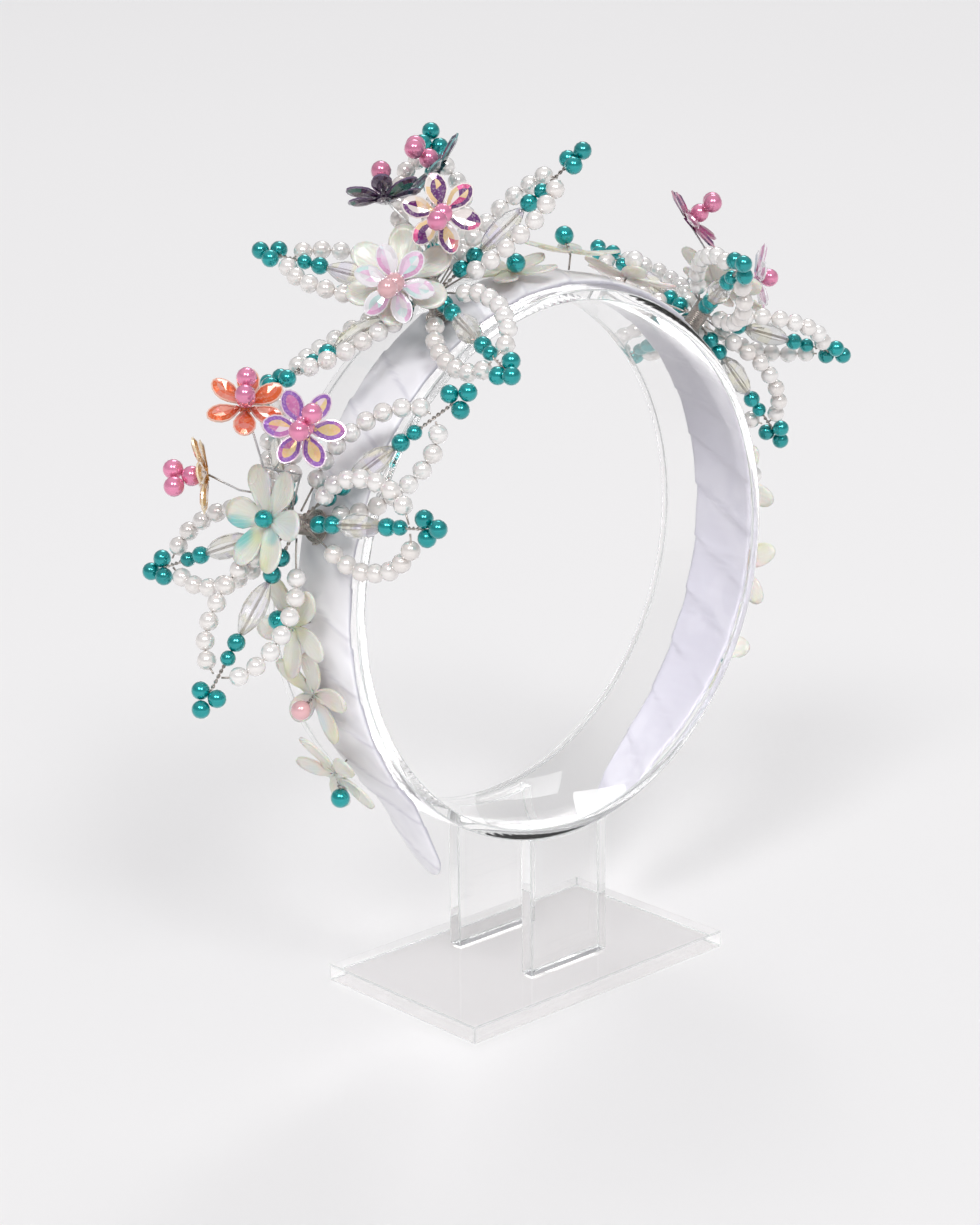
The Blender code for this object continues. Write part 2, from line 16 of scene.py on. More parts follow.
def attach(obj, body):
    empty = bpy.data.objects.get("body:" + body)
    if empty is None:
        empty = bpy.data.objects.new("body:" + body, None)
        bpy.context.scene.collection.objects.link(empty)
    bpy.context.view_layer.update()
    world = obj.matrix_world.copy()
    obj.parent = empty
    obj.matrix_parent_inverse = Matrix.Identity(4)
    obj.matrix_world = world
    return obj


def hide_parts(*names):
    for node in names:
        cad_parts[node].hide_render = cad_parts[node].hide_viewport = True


bl_info = {
    "name": "Tembleque headband",
    "version": (1, 0, 0),
    "blender": (4, 5, 0),
    "location": "View3D > Sidebar > Headband",
    "description": "Dresses a beaded tembleque headband on its clear display stand",
    "category": "Object",
}

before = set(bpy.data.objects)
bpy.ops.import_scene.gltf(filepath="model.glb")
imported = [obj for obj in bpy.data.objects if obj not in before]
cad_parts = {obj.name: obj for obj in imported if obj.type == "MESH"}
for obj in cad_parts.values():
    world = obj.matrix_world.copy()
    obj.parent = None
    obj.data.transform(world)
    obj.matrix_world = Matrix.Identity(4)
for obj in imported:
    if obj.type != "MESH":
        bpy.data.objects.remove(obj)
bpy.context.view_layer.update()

MM = 0.001
GAP = 0.3 * MM

# Places and sizes of the solids; places round the hoop and turns are in degrees
BASE_SIZE = (80 * MM, 50 * MM, 4 * MM)
POST_WIDTH = 24 * MM
POST_THICK = 3.4 * MM
POST_INSET = 1 * MM
HOOP_RADIUS = 62.5 * MM
HOOP_WALL = 2.5 * MM
HOOP_WIDTH = 30 * MM
HOOP_HEIGHT = 99.5 * MM
BAND_WIDTH = 17.5 * MM
BAND_THICK = 2 * MM
BAND_DOME = 0.6 * MM
BAND_MIDDLE = -4 * MM
BAND_SKEW = 0.025
BAND_TIPS = (-72, 243)
LEAVES = (-55, 225)  # where the tails leave the hoop
FLARES = (4 * MM, 9.5 * MM)  # how far the tips stand off it
FLARE_POWER = 1.4
TAIL_TAPER = 55
TAIL_WIDTH_SHARE = 0.48
TIP_ROUND = 4.5
TIP_BLUNT = 0.6
BAND_INNER = HOOP_RADIUS + GAP
BAND_OUTER = BAND_INNER + BAND_DOME + BAND_THICK
HUB_BASE = BAND_OUTER + GAP  # the hub is the binding of a cluster
HUB_THICK = 4.4 * MM
HUB_FOOT = 8 * MM
HUB_FOOT_RISE = 0.8 * MM
HUB_RISE = 9.4 * MM
HUB_WIRES = 6 * MM  # height at which the beaded petals leave it
HUB_STEMS = 8.2 * MM  # height at which the stems of the blooms leave it
LOOP_FOOT = 4.6 * MM
LOOP_TURNS = (34, 156)
CROSSING = 1 * MM
TWIST_SHARE = 0.6  # share of a strand's bare wire that lies past its beads
WIRE_PITCH = 1.05 * MM
TIP_SPREAD = 1.75 * MM
FLOWER_RADIUS = 12 * MM
FLOWER_NOTCH = 4.2 * MM
FLOWER_CUP = 2.6 * MM
FLOWER_THICK = 0.9 * MM
BLOOM_RADIUS = 8.2 * MM
BLOOM_CUP = 1.4 * MM
STEM_CLEAR = 1.6 * MM
SPRAY_RADIUS = 11.6 * MM
SPRAY_NOTCH = 2.4 * MM
SPRAY_CUP = 1.4 * MM
SPRAY_THICK = 0.8 * MM
SOLID_WIRE = 0.6 * MM

# Fineness and small play of the pieces
BEVEL_STEPS = 2
MERGE = 0.001 * MM
CUT_ANGLE = 40
SHARP_ANGLE = 30
POST_STEPS = 24
LOOP_STEPS = 40
PEARL_BOW = 0.12 * MM
TWIST_PITCH = 2.4 * MM
SPRAY_TWIST_PITCH = 1.6 * MM
TWIST_STEPS = 9
TWIST_TOUCH = 0.52  # how far each of two twisted wires lies off their middle, in wire sizes
BINDING_WIRE = 1.15  # size of the binding's wire, in wire sizes
WIND_PITCH = 1.04  # distance between turns of the binding, in sizes of its wire
WIND_STEPS = 14
COIL_TURNS = 5
COIL_STEPS = 96
BEAD_FIT = 0.995
FLOWER_RIPPLE = 0.9 * MM
SPRAY_RIPPLE = 0.7 * MM
SPRAY_BEAD = 4.4 * MM
PETAL_START = 0.9 * MM  # cut petals: where they start, then shares of their own sizes
PETAL_RIM = 0.055
PETAL_SLOPE = 0.17
PETAL_SLOPE_RISE = 0.36
PETAL_TIP = 0.62
PETAL_TURN_PLAY = 0.06  # in radians
PETAL_CUP_PLAY = 0.08

CLUSTER_COLUMNS = "name hoop across flower_way flower_off flower_rise lean_way lean flower_bead"
CLUSTERS = (
    ("low", 163, -3, 0, 0, 2, 0, 0, True),
    ("high", 115, -4, -12, 7.8, 3.4, -60, 36, False),
    ("far", 43, -4, 0, 0, 3.5, 0, 0, False),
)

PETAL_COLUMNS = "cluster letter way climb reach foot_rise roll over half"
PETALS = (
    ("low", "a", -99, -2, 38, 0, 20, 1, 10),
    ("low", "b", -138, -14, 44, 0, 25, 1, 8),
    ("low", "c", 4, 17, 40, 0, -30, 1, 8),
    ("low", "d", 64, 8, 38, 0, 0, 1, 8),
    ("low", "e", 132, -14, 38, 0, -20, 1, 8),
    ("high", "a", 72, 18, 38, 0, 5, -1, 8),
    ("high", "b", 14, 1, 38, 0, 15, -1, 8),
    ("high", "c", -67, -6, 38, 0, 25, 1, 8),
    ("high", "d", -151, 21, 40, 0, 0, -1, 8),
    ("high", "e", 146, 30, 37, 0, 45, -1, 8),
    ("far", "a", -50, -3, 38, 0, -25, 1, 8),
    ("far", "b", -161, 26, 38, 1, -20, -1, 8),
    ("far", "c", -174, -7, 38, -1.6, -25, -1, 8),
    ("far", "d", 121, 1, 38, 0, -25, 1, 8),
    ("far", "e", 84, 16, 37, 0, -45, 1, 8),
)

BLOOM_COLUMNS = "cluster colour carrier exit_way exit_off way off height face_way face_climb pearls"
BLOOMS = (
    ("low", "orange", "binding", 171, 10.5, 166, 22.6, 15, -125, 50, 3),
    ("low", "violet", "binding", 189, 10.5, 210, 23.2, 13, -125, 25, 3),
    ("low", "gold", "binding", 120, 9, 117, 14, 16, 140, -5, 3),
    ("high", "dark", "binding", 163, 3.6, 97, 4.8, 22.5, 60, 60, 2),
    ("high", "teal", "binding", 180, 4, 162, 18.5, 19.5, 137, 40, 3),
    ("high", "violet", "binding", 195, 4.3, 250, 9.2, 18.5, -125, 10, 2),
    ("high", "pale", "flower", 0, 0, -25, 13.5, 10.5, -130, 16, 2),
    ("far", "violet", "binding", 0, 9, 8, 16.6, 14, -43, 40, 3),
    ("far", "pale", "flower", 0, 0, 172, 10.5, 19.5, -43, 0, 1),
)

SPRAY_COLUMNS = "name hoop across rise turn wire_way wire_climb wire_length bead"
SPRAYS = (
    ("left_low", 212, -2, 2.8, 20, 0, 25, 6.5, "teal"),
    ("left_mid", 195, -3, 0.4, 50, 30, 55, 5, "blush"),
    ("left_high", 181, -3, 3.2, 5, 120, 45, 4, "teal"),
    ("top_left", 97, -4, 0.4, 30, -70, 35, 6, "teal"),
    ("top_mid", 81, -4, 2.8, 60, 100, 50, 5, "teal"),
    ("top_right", 65, -4, 0.4, 15, -60, 60, 5, "white"),
    ("right_high", 5, -3, 0.4, 40, -60, 50, 5, "white"),
    ("right_mid", -12, -3, 2.8, 10, 60, 50, 5, "blush"),
    ("right_low", -29, -3, 0.4, 60, 180, 40, 5, "teal"),
)

# Colours of each bloom's cut petals, and where its facets lie on the run of those colours
BLOOM_COLOURS = {
    # colour: deep, middle, bright, pale
    "low_orange": ((0.85, 0.13, 0.02), (0.90, 0.20, 0.12), (0.93, 0.36, 0.27), (0.97, 0.62, 0.50)),
    "low_violet": ((0.33, 0.12, 0.52), (0.72, 0.22, 0.50), (0.96, 0.74, 0.34), (0.93, 0.78, 0.88)),
    "low_gold": ((0.62, 0.30, 0.07), (0.82, 0.47, 0.18), (0.90, 0.45, 0.33), (0.96, 0.80, 0.55)),
    "high_dark": ((0.045, 0.012, 0.06), (0.05, 0.16, 0.12), (0.10, 0.36, 0.13), (0.16, 0.10, 0.20)),
    "high_teal": ((0.012, 0.07, 0.09), (0.07, 0.02, 0.10), (0.04, 0.28, 0.28), (0.20, 0.42, 0.44)),
    "high_violet": ((0.15, 0.025, 0.20), (0.76, 0.10, 0.30), (0.98, 0.72, 0.38), (0.97, 0.90, 0.86)),
    "high_pale": ((0.84, 0.42, 0.68), (0.93, 0.66, 0.86), (0.66, 0.90, 0.88), (0.97, 0.95, 0.98)),
    "far_violet": ((0.15, 0.012, 0.15), (0.42, 0.04, 0.20), (0.52, 0.28, 0.10), (0.66, 0.34, 0.46)),
    "far_pale": ((0.84, 0.44, 0.66), (0.93, 0.70, 0.88), (0.72, 0.80, 0.92), (0.97, 0.95, 0.98)),
}
BLOOM_FACETS = {
    # places on the run of four colours, from deep at 0 to pale at 1: outer facets, inner facets
    "low_orange": ((0.1, 0.15, 0.4, 0.6), (0.1, 0.3, 0.72)),
    "low_violet": ((0.1, 0.1, 0.2, 0.32), (0.72, 0.75, 0.5, 1.0)),
    "low_gold": ((0.1, 0.35, 0.45), (0.4, 0.7, 1.0)),
    "high_dark": ((0.1, 0.1, 0.4, 0.1), (0.1, 0.45, 0.72, 0.1)),
    "high_teal": ((0.1, 0.45, 0.1), (0.72, 0.1, 0.95)),
    "high_violet": ((0.05, 0.05, 0.46, 0.74, 1.0), (0.05, 0.46, 0.74, 1.0)),
    "high_pale": ((0.2, 0.46, 0.74, 1.0), (0.46, 0.74, 1.0)),
    "far_violet": ((0.1, 0.15, 0.42), (0.42, 0.72, 0.95, 0.1)),
    "far_pale": ((0.2, 0.46, 0.74, 1.0), (0.46, 0.74, 1.0)),
}

# Where the photograph was taken from
CAMERA_PLACE = Vector((-443.13, -468.87, 276.31)) * MM
CAMERA_AZIMUTH = -42.668
CAMERA_ELEVATION = 16.411
CAMERA_ROLL = -0.622
CAMERA_FOCAL_PIXELS = 2951.9
IMAGE_LONG_SIDE = 1225
SENSOR = 36


def hoop_point(degrees, radius, across=0.0):
    angle = math.radians(degrees)
    return Vector((radius * math.cos(angle), across, HOOP_HEIGHT + radius * math.sin(angle)))


def hoop_ways(degrees):
    """The unit ways along, across and out at a place on the hoop."""
    angle = math.radians(degrees)
    along = Vector((-math.sin(angle), 0, math.cos(angle)))
    return along, Vector((0, 1, 0)), Vector((math.cos(angle), 0, math.sin(angle)))


def way_from(ways, degrees, climb):
    """A unit way at this turn from along towards across, climbing outward."""
    along, across, out = ways
    turn = math.radians(degrees)
    rise = math.radians(climb)
    level = along * math.cos(turn) + across * math.sin(turn)
    return level * math.cos(rise) + out * math.sin(rise)


def compass_way(degrees, climb):
    turn = math.radians(degrees)
    rise = math.radians(climb)
    return Vector((math.cos(turn) * math.cos(rise), math.sin(turn) * math.cos(rise), math.sin(rise)))


def standing(origin, axis, start=None):
    """The matrix that stands a shape at the origin with its Z along the axis and X to the start."""
    first = (start or axis.orthogonal()).cross(axis).normalized()
    turned = Matrix((axis.cross(first), -first, axis)).transposed()
    return Matrix.Translation(origin) @ turned.to_4x4()


def rows(table, columns):
    return [dict(zip(columns.split(), row)) for row in table]


def clusters():
    """The three clusters, in metres, with the points that their wires leave from."""
    found = []
    for cluster in rows(CLUSTERS, CLUSTER_COLUMNS):
        across = cluster["across"] * MM
        ways = hoop_ways(cluster["hoop"])
        out = ways[2]
        cluster["ways"] = ways
        cluster["base"] = hoop_point(cluster["hoop"], HUB_BASE, across)
        cluster["wires"] = hoop_point(cluster["hoop"], HUB_BASE + HUB_WIRES, across)
        cluster["stems"] = hoop_point(cluster["hoop"], HUB_BASE + HUB_STEMS, across)
        foot = hoop_point(cluster["hoop"], HUB_BASE + HUB_RISE, across) + out * GAP
        off = way_from(ways, cluster["flower_way"], 0) * cluster["flower_off"] * MM
        cluster["foot"] = foot
        cluster["rise"] = cluster["flower_rise"] * MM
        cluster["middle"] = foot + off + out * (cluster["rise"] + FLOWER_THICK)
        cluster["face"] = way_from(ways, cluster["lean_way"], 90 - cluster["lean"])
        found.append(cluster)
    return found


def petals():
    """Every beaded petal with its own ways and the stations along its strand."""
    found = []
    for cluster in clusters():
        for petal in rows(PETALS, PETAL_COLUMNS):
            if petal["cluster"] != cluster["name"]:
                continue
            ways = cluster["ways"]
            level = way_from(ways, petal["way"], 0)
            foot = cluster["wires"] + level * (HUB_THICK / 2 + GAP) + ways[2] * petal["foot_rise"] * MM
            tip = cluster["wires"] + way_from(ways, petal["way"], petal["climb"]) * petal["reach"] * MM
            aim = (tip - foot).normalized()
            side = ways[2].cross(aim).normalized()
            spin = Matrix.Rotation(math.radians(petal["roll"]), 3, aim)
            petal["name"] = cluster["name"] + "_petal_" + petal["letter"]
            petal["foot"] = foot
            petal["tip"] = tip
            petal["aim"] = aim
            petal["side"] = spin @ side
            petal["face"] = spin @ aim.cross(side)
            petal["run"] = (tip - foot).length
            found.append(petal)
    return found


def strand_stations(petal, beads):
    """Distances from the foot: first bead, crystal, beads past it, twist and tip."""
    length = beads.crystal_length + 3 * beads.teal_size + beads.teal_small_size
    slack = petal["run"] - length - TIP_SPREAD
    bare = slack * (1 - TWIST_SHARE)
    crystal = bare + beads.teal_size * 2
    return bare, crystal, crystal + beads.crystal_length, bare + length


# Mesh making


def set_layers(part, tint, facet):
    tints = part.verts.layers.float.get("tint") or part.verts.layers.float.new("tint")
    for vert in part.verts:
        vert[tints] = tint
    if part.faces.layers.float.get("facet"):
        return
    facets = part.faces.layers.float.new("facet")
    for face in part.faces:
        face[facets] = facet() if facet else 0.0


def add(bm, part, place=0, smooth=True, tint=0.0, facet=None):
    """Joins a finished shape into a piece: its material place, shading, tint and facet values.

    A place of None keeps the places that its faces already have.
    """
    open_edges = [edge for edge in part.edges if edge.is_boundary]
    if open_edges:
        bmesh.ops.holes_fill(part, edges=open_edges, sides=0)
    bmesh.ops.recalc_face_normals(part, faces=part.faces)
    set_layers(part, tint, facet)
    for face in part.faces:
        face.smooth = smooth
        if place is not None:
            face.material_index = place
    mesh = bpy.data.meshes.new("shape")
    part.to_mesh(mesh)
    part.free()
    bm.from_mesh(mesh)
    bpy.data.meshes.remove(mesh)


def new_piece():
    """An empty bmesh with the layers that the materials read."""
    bm = bmesh.new()
    bm.verts.layers.float.new("tint")
    bm.faces.layers.float.new("facet")
    return bm


def finished(bm, name, slot, materials, *nodes):
    """Turns the bmesh into a piece that rides on the frame and stands for its nodes."""
    mesh = bpy.data.meshes.new(name)
    bm.to_mesh(mesh)
    bm.free()
    for material in materials:
        mesh.materials.append(material)
    piece = bpy.data.objects.new(name, mesh)
    bpy.context.scene.collection.objects.link(piece)
    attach(piece, "root")
    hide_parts(*nodes)
    return piece


def bead(bm, centre, diameter, axis, place=0, tint=0.0, sides=12, rings=8):
    """A round bead whose hole runs along the axis."""
    part = bmesh.new()
    bmesh.ops.create_uvsphere(
        part,
        u_segments=sides,
        v_segments=rings,
        radius=diameter / 2,
        matrix=standing(centre, axis),
    )
    add(bm, part, place, True, tint)


def ring_edges(verts):
    """The edges that join these vertices to each other, in the same order on every run."""
    chosen = set(verts)
    edges = [edge for vert in verts for edge in vert.link_edges if set(edge.verts) <= chosen]
    return list(dict.fromkeys(edges))


def lofted(part, frames, ring):
    """Carries a ring of vertices through the frames, drawing a wall between them.

    The walls are drawn one by one, because an extrude gives them a new order on every run, and the
    crystals' facet values follow that order.
    """
    for before, after in zip(frames, frames[1:]):
        step = after @ before.inverted()
        drawn = [part.verts.new(step @ vert.co) for vert in ring]
        for number, vert in enumerate(ring):
            part.faces.new((ring[number - 1], vert, drawn[number], drawn[number - 1]))
        ring = drawn


def path_frames(points):
    """A frame at each point whose Z follows the path, turned as little as the path allows."""
    ways = [(after - before).normalized() for before, after in zip(points, points[1:])]
    ways = [ways[0]] + [(a + b).normalized() for a, b in zip(ways, ways[1:])] + [ways[-1]]
    side = ways[0].orthogonal().normalized()
    frames = []
    for point, way in zip(points, ways):
        side = (side - way * side.dot(way)).normalized()
        turned = Matrix((side, way.cross(side), way)).transposed()
        frames.append(Matrix.Translation(point) @ turned.to_4x4())
    return frames


def wire(bm, points, diameter, place=0, sides=6, tint=0.0):
    """A round wire through the points, closed at both ends."""
    frames = path_frames(points)
    part = bmesh.new()
    made = bmesh.ops.create_circle(part, segments=sides, radius=diameter / 2, matrix=frames[0])
    lofted(part, frames, made["verts"])
    add(bm, part, place, True, tint)


def coiled(bm, start, arm, axis, travel, turns, steps, diameter, sides, place=0):
    """A wire that starts at the end of an arm and winds round an axis as it travels."""
    part = bmesh.new()
    ring = bmesh.ops.create_circle(
        part,
        segments=sides,
        radius=diameter / 2,
        matrix=standing(start + arm, arm.normalized().cross(axis)),
    )["verts"]
    bmesh.ops.spin(
        part,
        geom=ring + ring_edges(ring),
        cent=start,
        axis=axis,
        dvec=travel / steps,
        angle=turns * 2 * math.pi,
        steps=steps,
        use_merge=False,
        use_duplicate=False,
    )
    add(bm, part, place)


def twist(bm, start, end, diameter, place=0, pitch=TWIST_PITCH):
    """Two wires wound round each other between two points."""
    way = end - start
    aim = way.normalized()
    turns = way.length / pitch
    steps = max(6, int(turns * TWIST_STEPS))
    side = aim.orthogonal().normalized()
    for turn in (0, math.pi):
        arm = Matrix.Rotation(turn, 3, aim) @ side * diameter * TWIST_TOUCH
        coiled(bm, start, arm, aim, way, turns, steps, diameter, 5, place)


def smooth_path(points, steps=5):
    """A soft curve through the points."""
    ends = [points[0] * 2 - points[1], *points, points[-1] * 2 - points[-2]]
    path = []
    for before, start, end, after in zip(ends, ends[1:], ends[2:], ends[3:]):
        for step in range(steps):
            t = step / steps
            a = start * 2
            b = (end - before) * t
            c = (before * 2 - start * 5 + end * 4 - after) * t * t
            d = (start * 3 - before - end * 3 + after) * t**3
            path.append((a + b + c + d) / 2)
    return path + [points[-1]]


def spaced(path, size):
    """Points a bead apart along a path, with what is left over shared between its ends."""
    lengths = [0.0]
    for before, after in zip(path, path[1:]):
        lengths.append(lengths[-1] + (after - before).length)
    count = int(lengths[-1] / size + 0.25)
    spare = (lengths[-1] - count * size) / 2
    found = []
    index = 0
    for step in range(count + 1):
        goal = max(0.0, spare) + min(size, lengths[-1] / count) * step
        while index < len(path) - 2 and lengths[index + 1] < goal:
            index += 1
        share = (goal - lengths[index]) / max(1e-9, lengths[index + 1] - lengths[index])
        found.append(path[index].lerp(path[index + 1], min(1.0, share)))
    return found


# Shader effects


def effect(name, inputs, coloured=True):
    """A new shader node group that reads a place and these inputs, and its two ends."""
    tree = bpy.data.node_groups.new(name, "ShaderNodeTree")
    for kind, label, value in (("Vector", "Vector", None), *inputs):
        socket = tree.interface.new_socket(label, in_out="INPUT", socket_type="NodeSocket" + kind)
        if value is not None:
            socket.default_value = value
    outputs = (("Color", "Colour"), ("Float", "Roughness"), ("Float", "Height"))
    for kind, label in outputs if coloured else outputs[1:]:
        tree.interface.new_socket(label, in_out="OUTPUT", socket_type="NodeSocket" + kind)
    return tree, tree.nodes.new("NodeGroupInput").outputs, tree.nodes.new("NodeGroupOutput").inputs


def node(tree, kind, settings=None, **inputs):
    """A node with its settings, and its inputs set or linked by name."""
    made = tree.nodes.new("ShaderNode" + kind)
    for key, value in (settings or {}).items():
        setattr(made, key, value)
    for key, value in inputs.items():
        place = int(key[1:]) if key[0] == "i" and key[1:].isdigit() else key.replace("_", " ")
        feed(tree, value, made.inputs[place])
    return made


def feed(tree, value, socket):
    if isinstance(value, bpy.types.NodeSocket):
        tree.links.new(value, socket)
    else:
        socket.default_value = value


def maths(tree, operation, first, second=0.0, third=0.0, clamp=False):
    settings = {"operation": operation, "use_clamp": clamp}
    return node(tree, "Math", settings, i0=first, i1=second, i2=third).outputs[0]


def mixed(tree, share, first, second):
    """A colour between two colours."""
    made = tree.nodes.new("ShaderNodeMix")
    made.data_type = "RGBA"
    feed(tree, share, made.inputs[0])
    feed(tree, first, made.inputs[6])
    feed(tree, second, made.inputs[7])
    return made.outputs[2]


def ranged(tree, value, low, high, start=0.0, end=1.0, smooth=True):
    settings = {"interpolation_type": "SMOOTHSTEP" if smooth else "LINEAR"}
    made = node(tree, "MapRange", settings, i0=value, i1=low, i2=high, i3=start, i4=end)
    return made.outputs[0]


def noisy(tree, vector, scale, detail=2.0, rough=0.5):
    made = node(tree, "TexNoise", None, Vector=vector, Scale=scale, Detail=detail, Roughness=rough)
    return made.outputs[0]


def bead_skin():
    """Pearl lacquer: a cloudy colour that changes from bead to bead, and small pits."""
    tree, put, out = effect(
        "Pearl lacquer",
        (
            ("Color", "Light", (0.9, 0.87, 0.85, 1)),
            ("Color", "Shade", (0.7, 0.62, 0.58, 1)),
            ("Float", "Tint", 0.0),
            ("Float", "Cloud", 0.35),
            ("Float", "Gloss", 0.2),
        ),
    )
    cloud = noisy(tree, put["Vector"], 420.0)
    share = ranged(tree, maths(tree, "MULTIPLY_ADD", cloud, put["Cloud"], put["Tint"]), 0.0, 1.0)
    feed(tree, mixed(tree, share, put["Light"], put["Shade"]), out["Colour"])
    grain = noisy(tree, put["Vector"], 1900.0, 3.0, 0.6)
    feed(tree, maths(tree, "MULTIPLY_ADD", grain, 0.12, put["Gloss"]), out["Roughness"])
    feed(tree, grain, out["Height"])
    return tree


def rainbow_film():
    """The coloured film on cut plastic: four colours that change from facet to facet, and painted
    glints.
    """
    tree, put, out = effect(
        "Rainbow film",
        (
            ("Float", "Facet", 0.5),
            ("Float", "Scale", 160.0),
            ("Float", "Spread", 0.22),
            ("Float", "Painted glints", 0.3),
            ("Color", "Deep", (0.2, 0.05, 0.3, 1)),
            ("Color", "Middle", (0.6, 0.2, 0.4, 1)),
            ("Color", "Bright", (0.95, 0.7, 0.4, 1)),
            ("Color", "Pale", (0.95, 0.9, 0.95, 1)),
        ),
    )
    flow = noisy(tree, put["Vector"], put["Scale"], 1.5, 0.45)
    flow = ranged(tree, flow, 0.28, 0.72, -0.5, 0.5, False)
    value = maths(tree, "MULTIPLY_ADD", flow, put["Spread"], put["Facet"])
    colour = put["Deep"]
    for label, low, high in (("Middle", 0.22, 0.42), ("Bright", 0.5, 0.66), ("Pale", 0.8, 0.93)):
        colour = mixed(tree, ranged(tree, value, low, high), colour, put[label])
    # painted glints: pale specks mixed into the colour stand in for sparkle off the surface
    glints = node(tree, "TexVoronoi", None, Vector=put["Vector"], Scale=3200.0).outputs[1]
    glint = node(tree, "SeparateColor", None, i0=glints).outputs[0]
    glint = maths(tree, "MULTIPLY", ranged(tree, glint, 0.55, 1.0), put["Painted glints"])
    feed(tree, mixed(tree, glint, colour, put["Pale"]), out["Colour"])
    grain = noisy(tree, put["Vector"], 1400.0)
    feed(tree, ranged(tree, grain, 0.2, 0.8, 0.06, 0.2, False), out["Roughness"])
    feed(tree, grain, out["Height"])
    return tree


def petal_film():
    """A thin moulded petal: milky colour with soft tints, fine veins and a worn gloss."""
    tree, put, out = effect(
        "Petal film",
        (
            ("Vector", "Across petal", None),
            ("Color", "Milk", (0.9, 0.89, 0.82, 1)),
            ("Color", "Warm tint", (0.86, 0.84, 0.5, 1)),
            ("Color", "Cool tint", (0.3, 0.72, 0.72, 1)),
            ("Color", "Rose tint", (0.92, 0.72, 0.74, 1)),
            ("Float", "Tint share", 0.5),
            ("Float", "Scale", 90.0),
        ),
    )
    colour = put["Milk"]
    for label, shift, low, high in (
        ("Warm tint", (0, 0, 0), 0.5, 0.68),
        ("Rose tint", (0.77, 0.41, 0.13), 0.52, 0.72),
        ("Cool tint", (0.31, 0.17, 0.53), 0.6, 0.76),
    ):
        moved = node(tree, "VectorMath", {"operation": "ADD"}, i0=put["Vector"], i1=shift).outputs[0]
        cloud = noisy(tree, moved, put["Scale"], 1.5)
        share = maths(tree, "MULTIPLY", ranged(tree, cloud, low, high), put["Tint share"])
        colour = mixed(tree, share, colour, put[label])
    veins = node(
        tree,
        "TexWave",
        {"wave_type": "BANDS", "bands_direction": "Y"},
        Vector=put["Across petal"],
        Scale=3.0,
        Distortion=2.5,
        Detail=2.0,
    ).outputs[1]
    colour = mixed(tree, ranged(tree, veins, 0.75, 1.0, 0.0, 0.18), colour, (1.0, 1.0, 0.98, 1))
    feed(tree, colour, out["Colour"])
    wear = noisy(tree, put["Vector"], put["Scale"], 1.5)
    feed(tree, ranged(tree, wear, 0.3, 0.7, 0.22, 0.4, False), out["Roughness"])
    feed(tree, veins, out["Height"])
    return tree


def satin_weave():
    """Satin: long floating threads across the wrap, a soft colour drift, and painted shade in the folds,
    at the laps and over the inner side.
    """
    tree, put, out = effect(
        "Satin weave",
        (
            ("Vector", "Wrap", None),
            ("Color", "Light", (0.86, 0.85, 0.92, 1)),
            # Fold: the darker colour that the random colour drift and the painted shade mix towards
            ("Color", "Fold", (0.6, 0.58, 0.72, 1)),
            ("Float", "Threads", 1.0),
            ("Float", "Painted shade", 0.0),
        ),
    )
    drift = ranged(tree, noisy(tree, put["Vector"], 45.0), 0.35, 0.75, 0.0, 0.3)
    # the drift is random tone; the other share is painted shade written by the band
    share = maths(tree, "ADD", drift, put["Painted shade"], clamp=True)
    feed(tree, mixed(tree, share, put["Light"], put["Fold"]), out["Colour"])
    stretched = node(tree, "Mapping", None, Vector=put["Wrap"], Scale=(900.0, 26000.0, 900.0))
    threads = noisy(tree, stretched.outputs[0], put["Threads"], 2.0, 0.6)
    feed(tree, ranged(tree, threads, 0.3, 0.7, 0.3, 0.46, False), out["Roughness"])
    slubs = noisy(tree, put["Vector"], 210.0, 3.0)
    feed(tree, maths(tree, "MULTIPLY_ADD", threads, 0.4, slubs), out["Height"])
    return tree


def clear_wear():
    """Handled clear plastic: faint scuffs and a slow wave left by polishing."""
    tree, put, out = effect("Clear plastic wear", (("Float", "Scuffs", 0.5),), False)
    thin = node(tree, "Mapping", None, Vector=put["Vector"], Scale=(90.0, 35.0, 60.0)).outputs[0]
    scuffs = ranged(tree, noisy(tree, thin, 1.0, 3.0, 0.6), 0.6, 0.78)
    scuffs = maths(tree, "MULTIPLY", scuffs, put["Scuffs"])
    feed(tree, maths(tree, "MULTIPLY_ADD", scuffs, 0.06, 0.015), out["Roughness"])
    feed(tree, noisy(tree, put["Vector"], 26.0, 1.0), out["Height"])
    return tree


def drawn_metal():
    """Thin craft wire: colour that drifts along it and fine draw marks."""
    tree, put, out = effect(
        "Drawn wire",
        (("Color", "Bright", (0.6, 0.55, 0.5, 1)), ("Color", "Dull", (0.25, 0.19, 0.16, 1))),
    )
    drift = ranged(tree, noisy(tree, put["Vector"], 240.0), 0.35, 0.68)
    feed(tree, mixed(tree, drift, put["Bright"], put["Dull"]), out["Colour"])
    grain = noisy(tree, put["Vector"], 2600.0)
    feed(tree, ranged(tree, grain, 0.3, 0.7, 0.22, 0.42, False), out["Roughness"])
    feed(tree, grain, out["Height"])
    return tree


EFFECTS = {
    "bead_skin": bead_skin,
    "rainbow_film": rainbow_film,
    "petal_film": petal_film,
    "satin_weave": satin_weave,
    "clear_wear": clear_wear,
    "drawn_metal": drawn_metal,
}
made_effects = {}
made_looks = {}


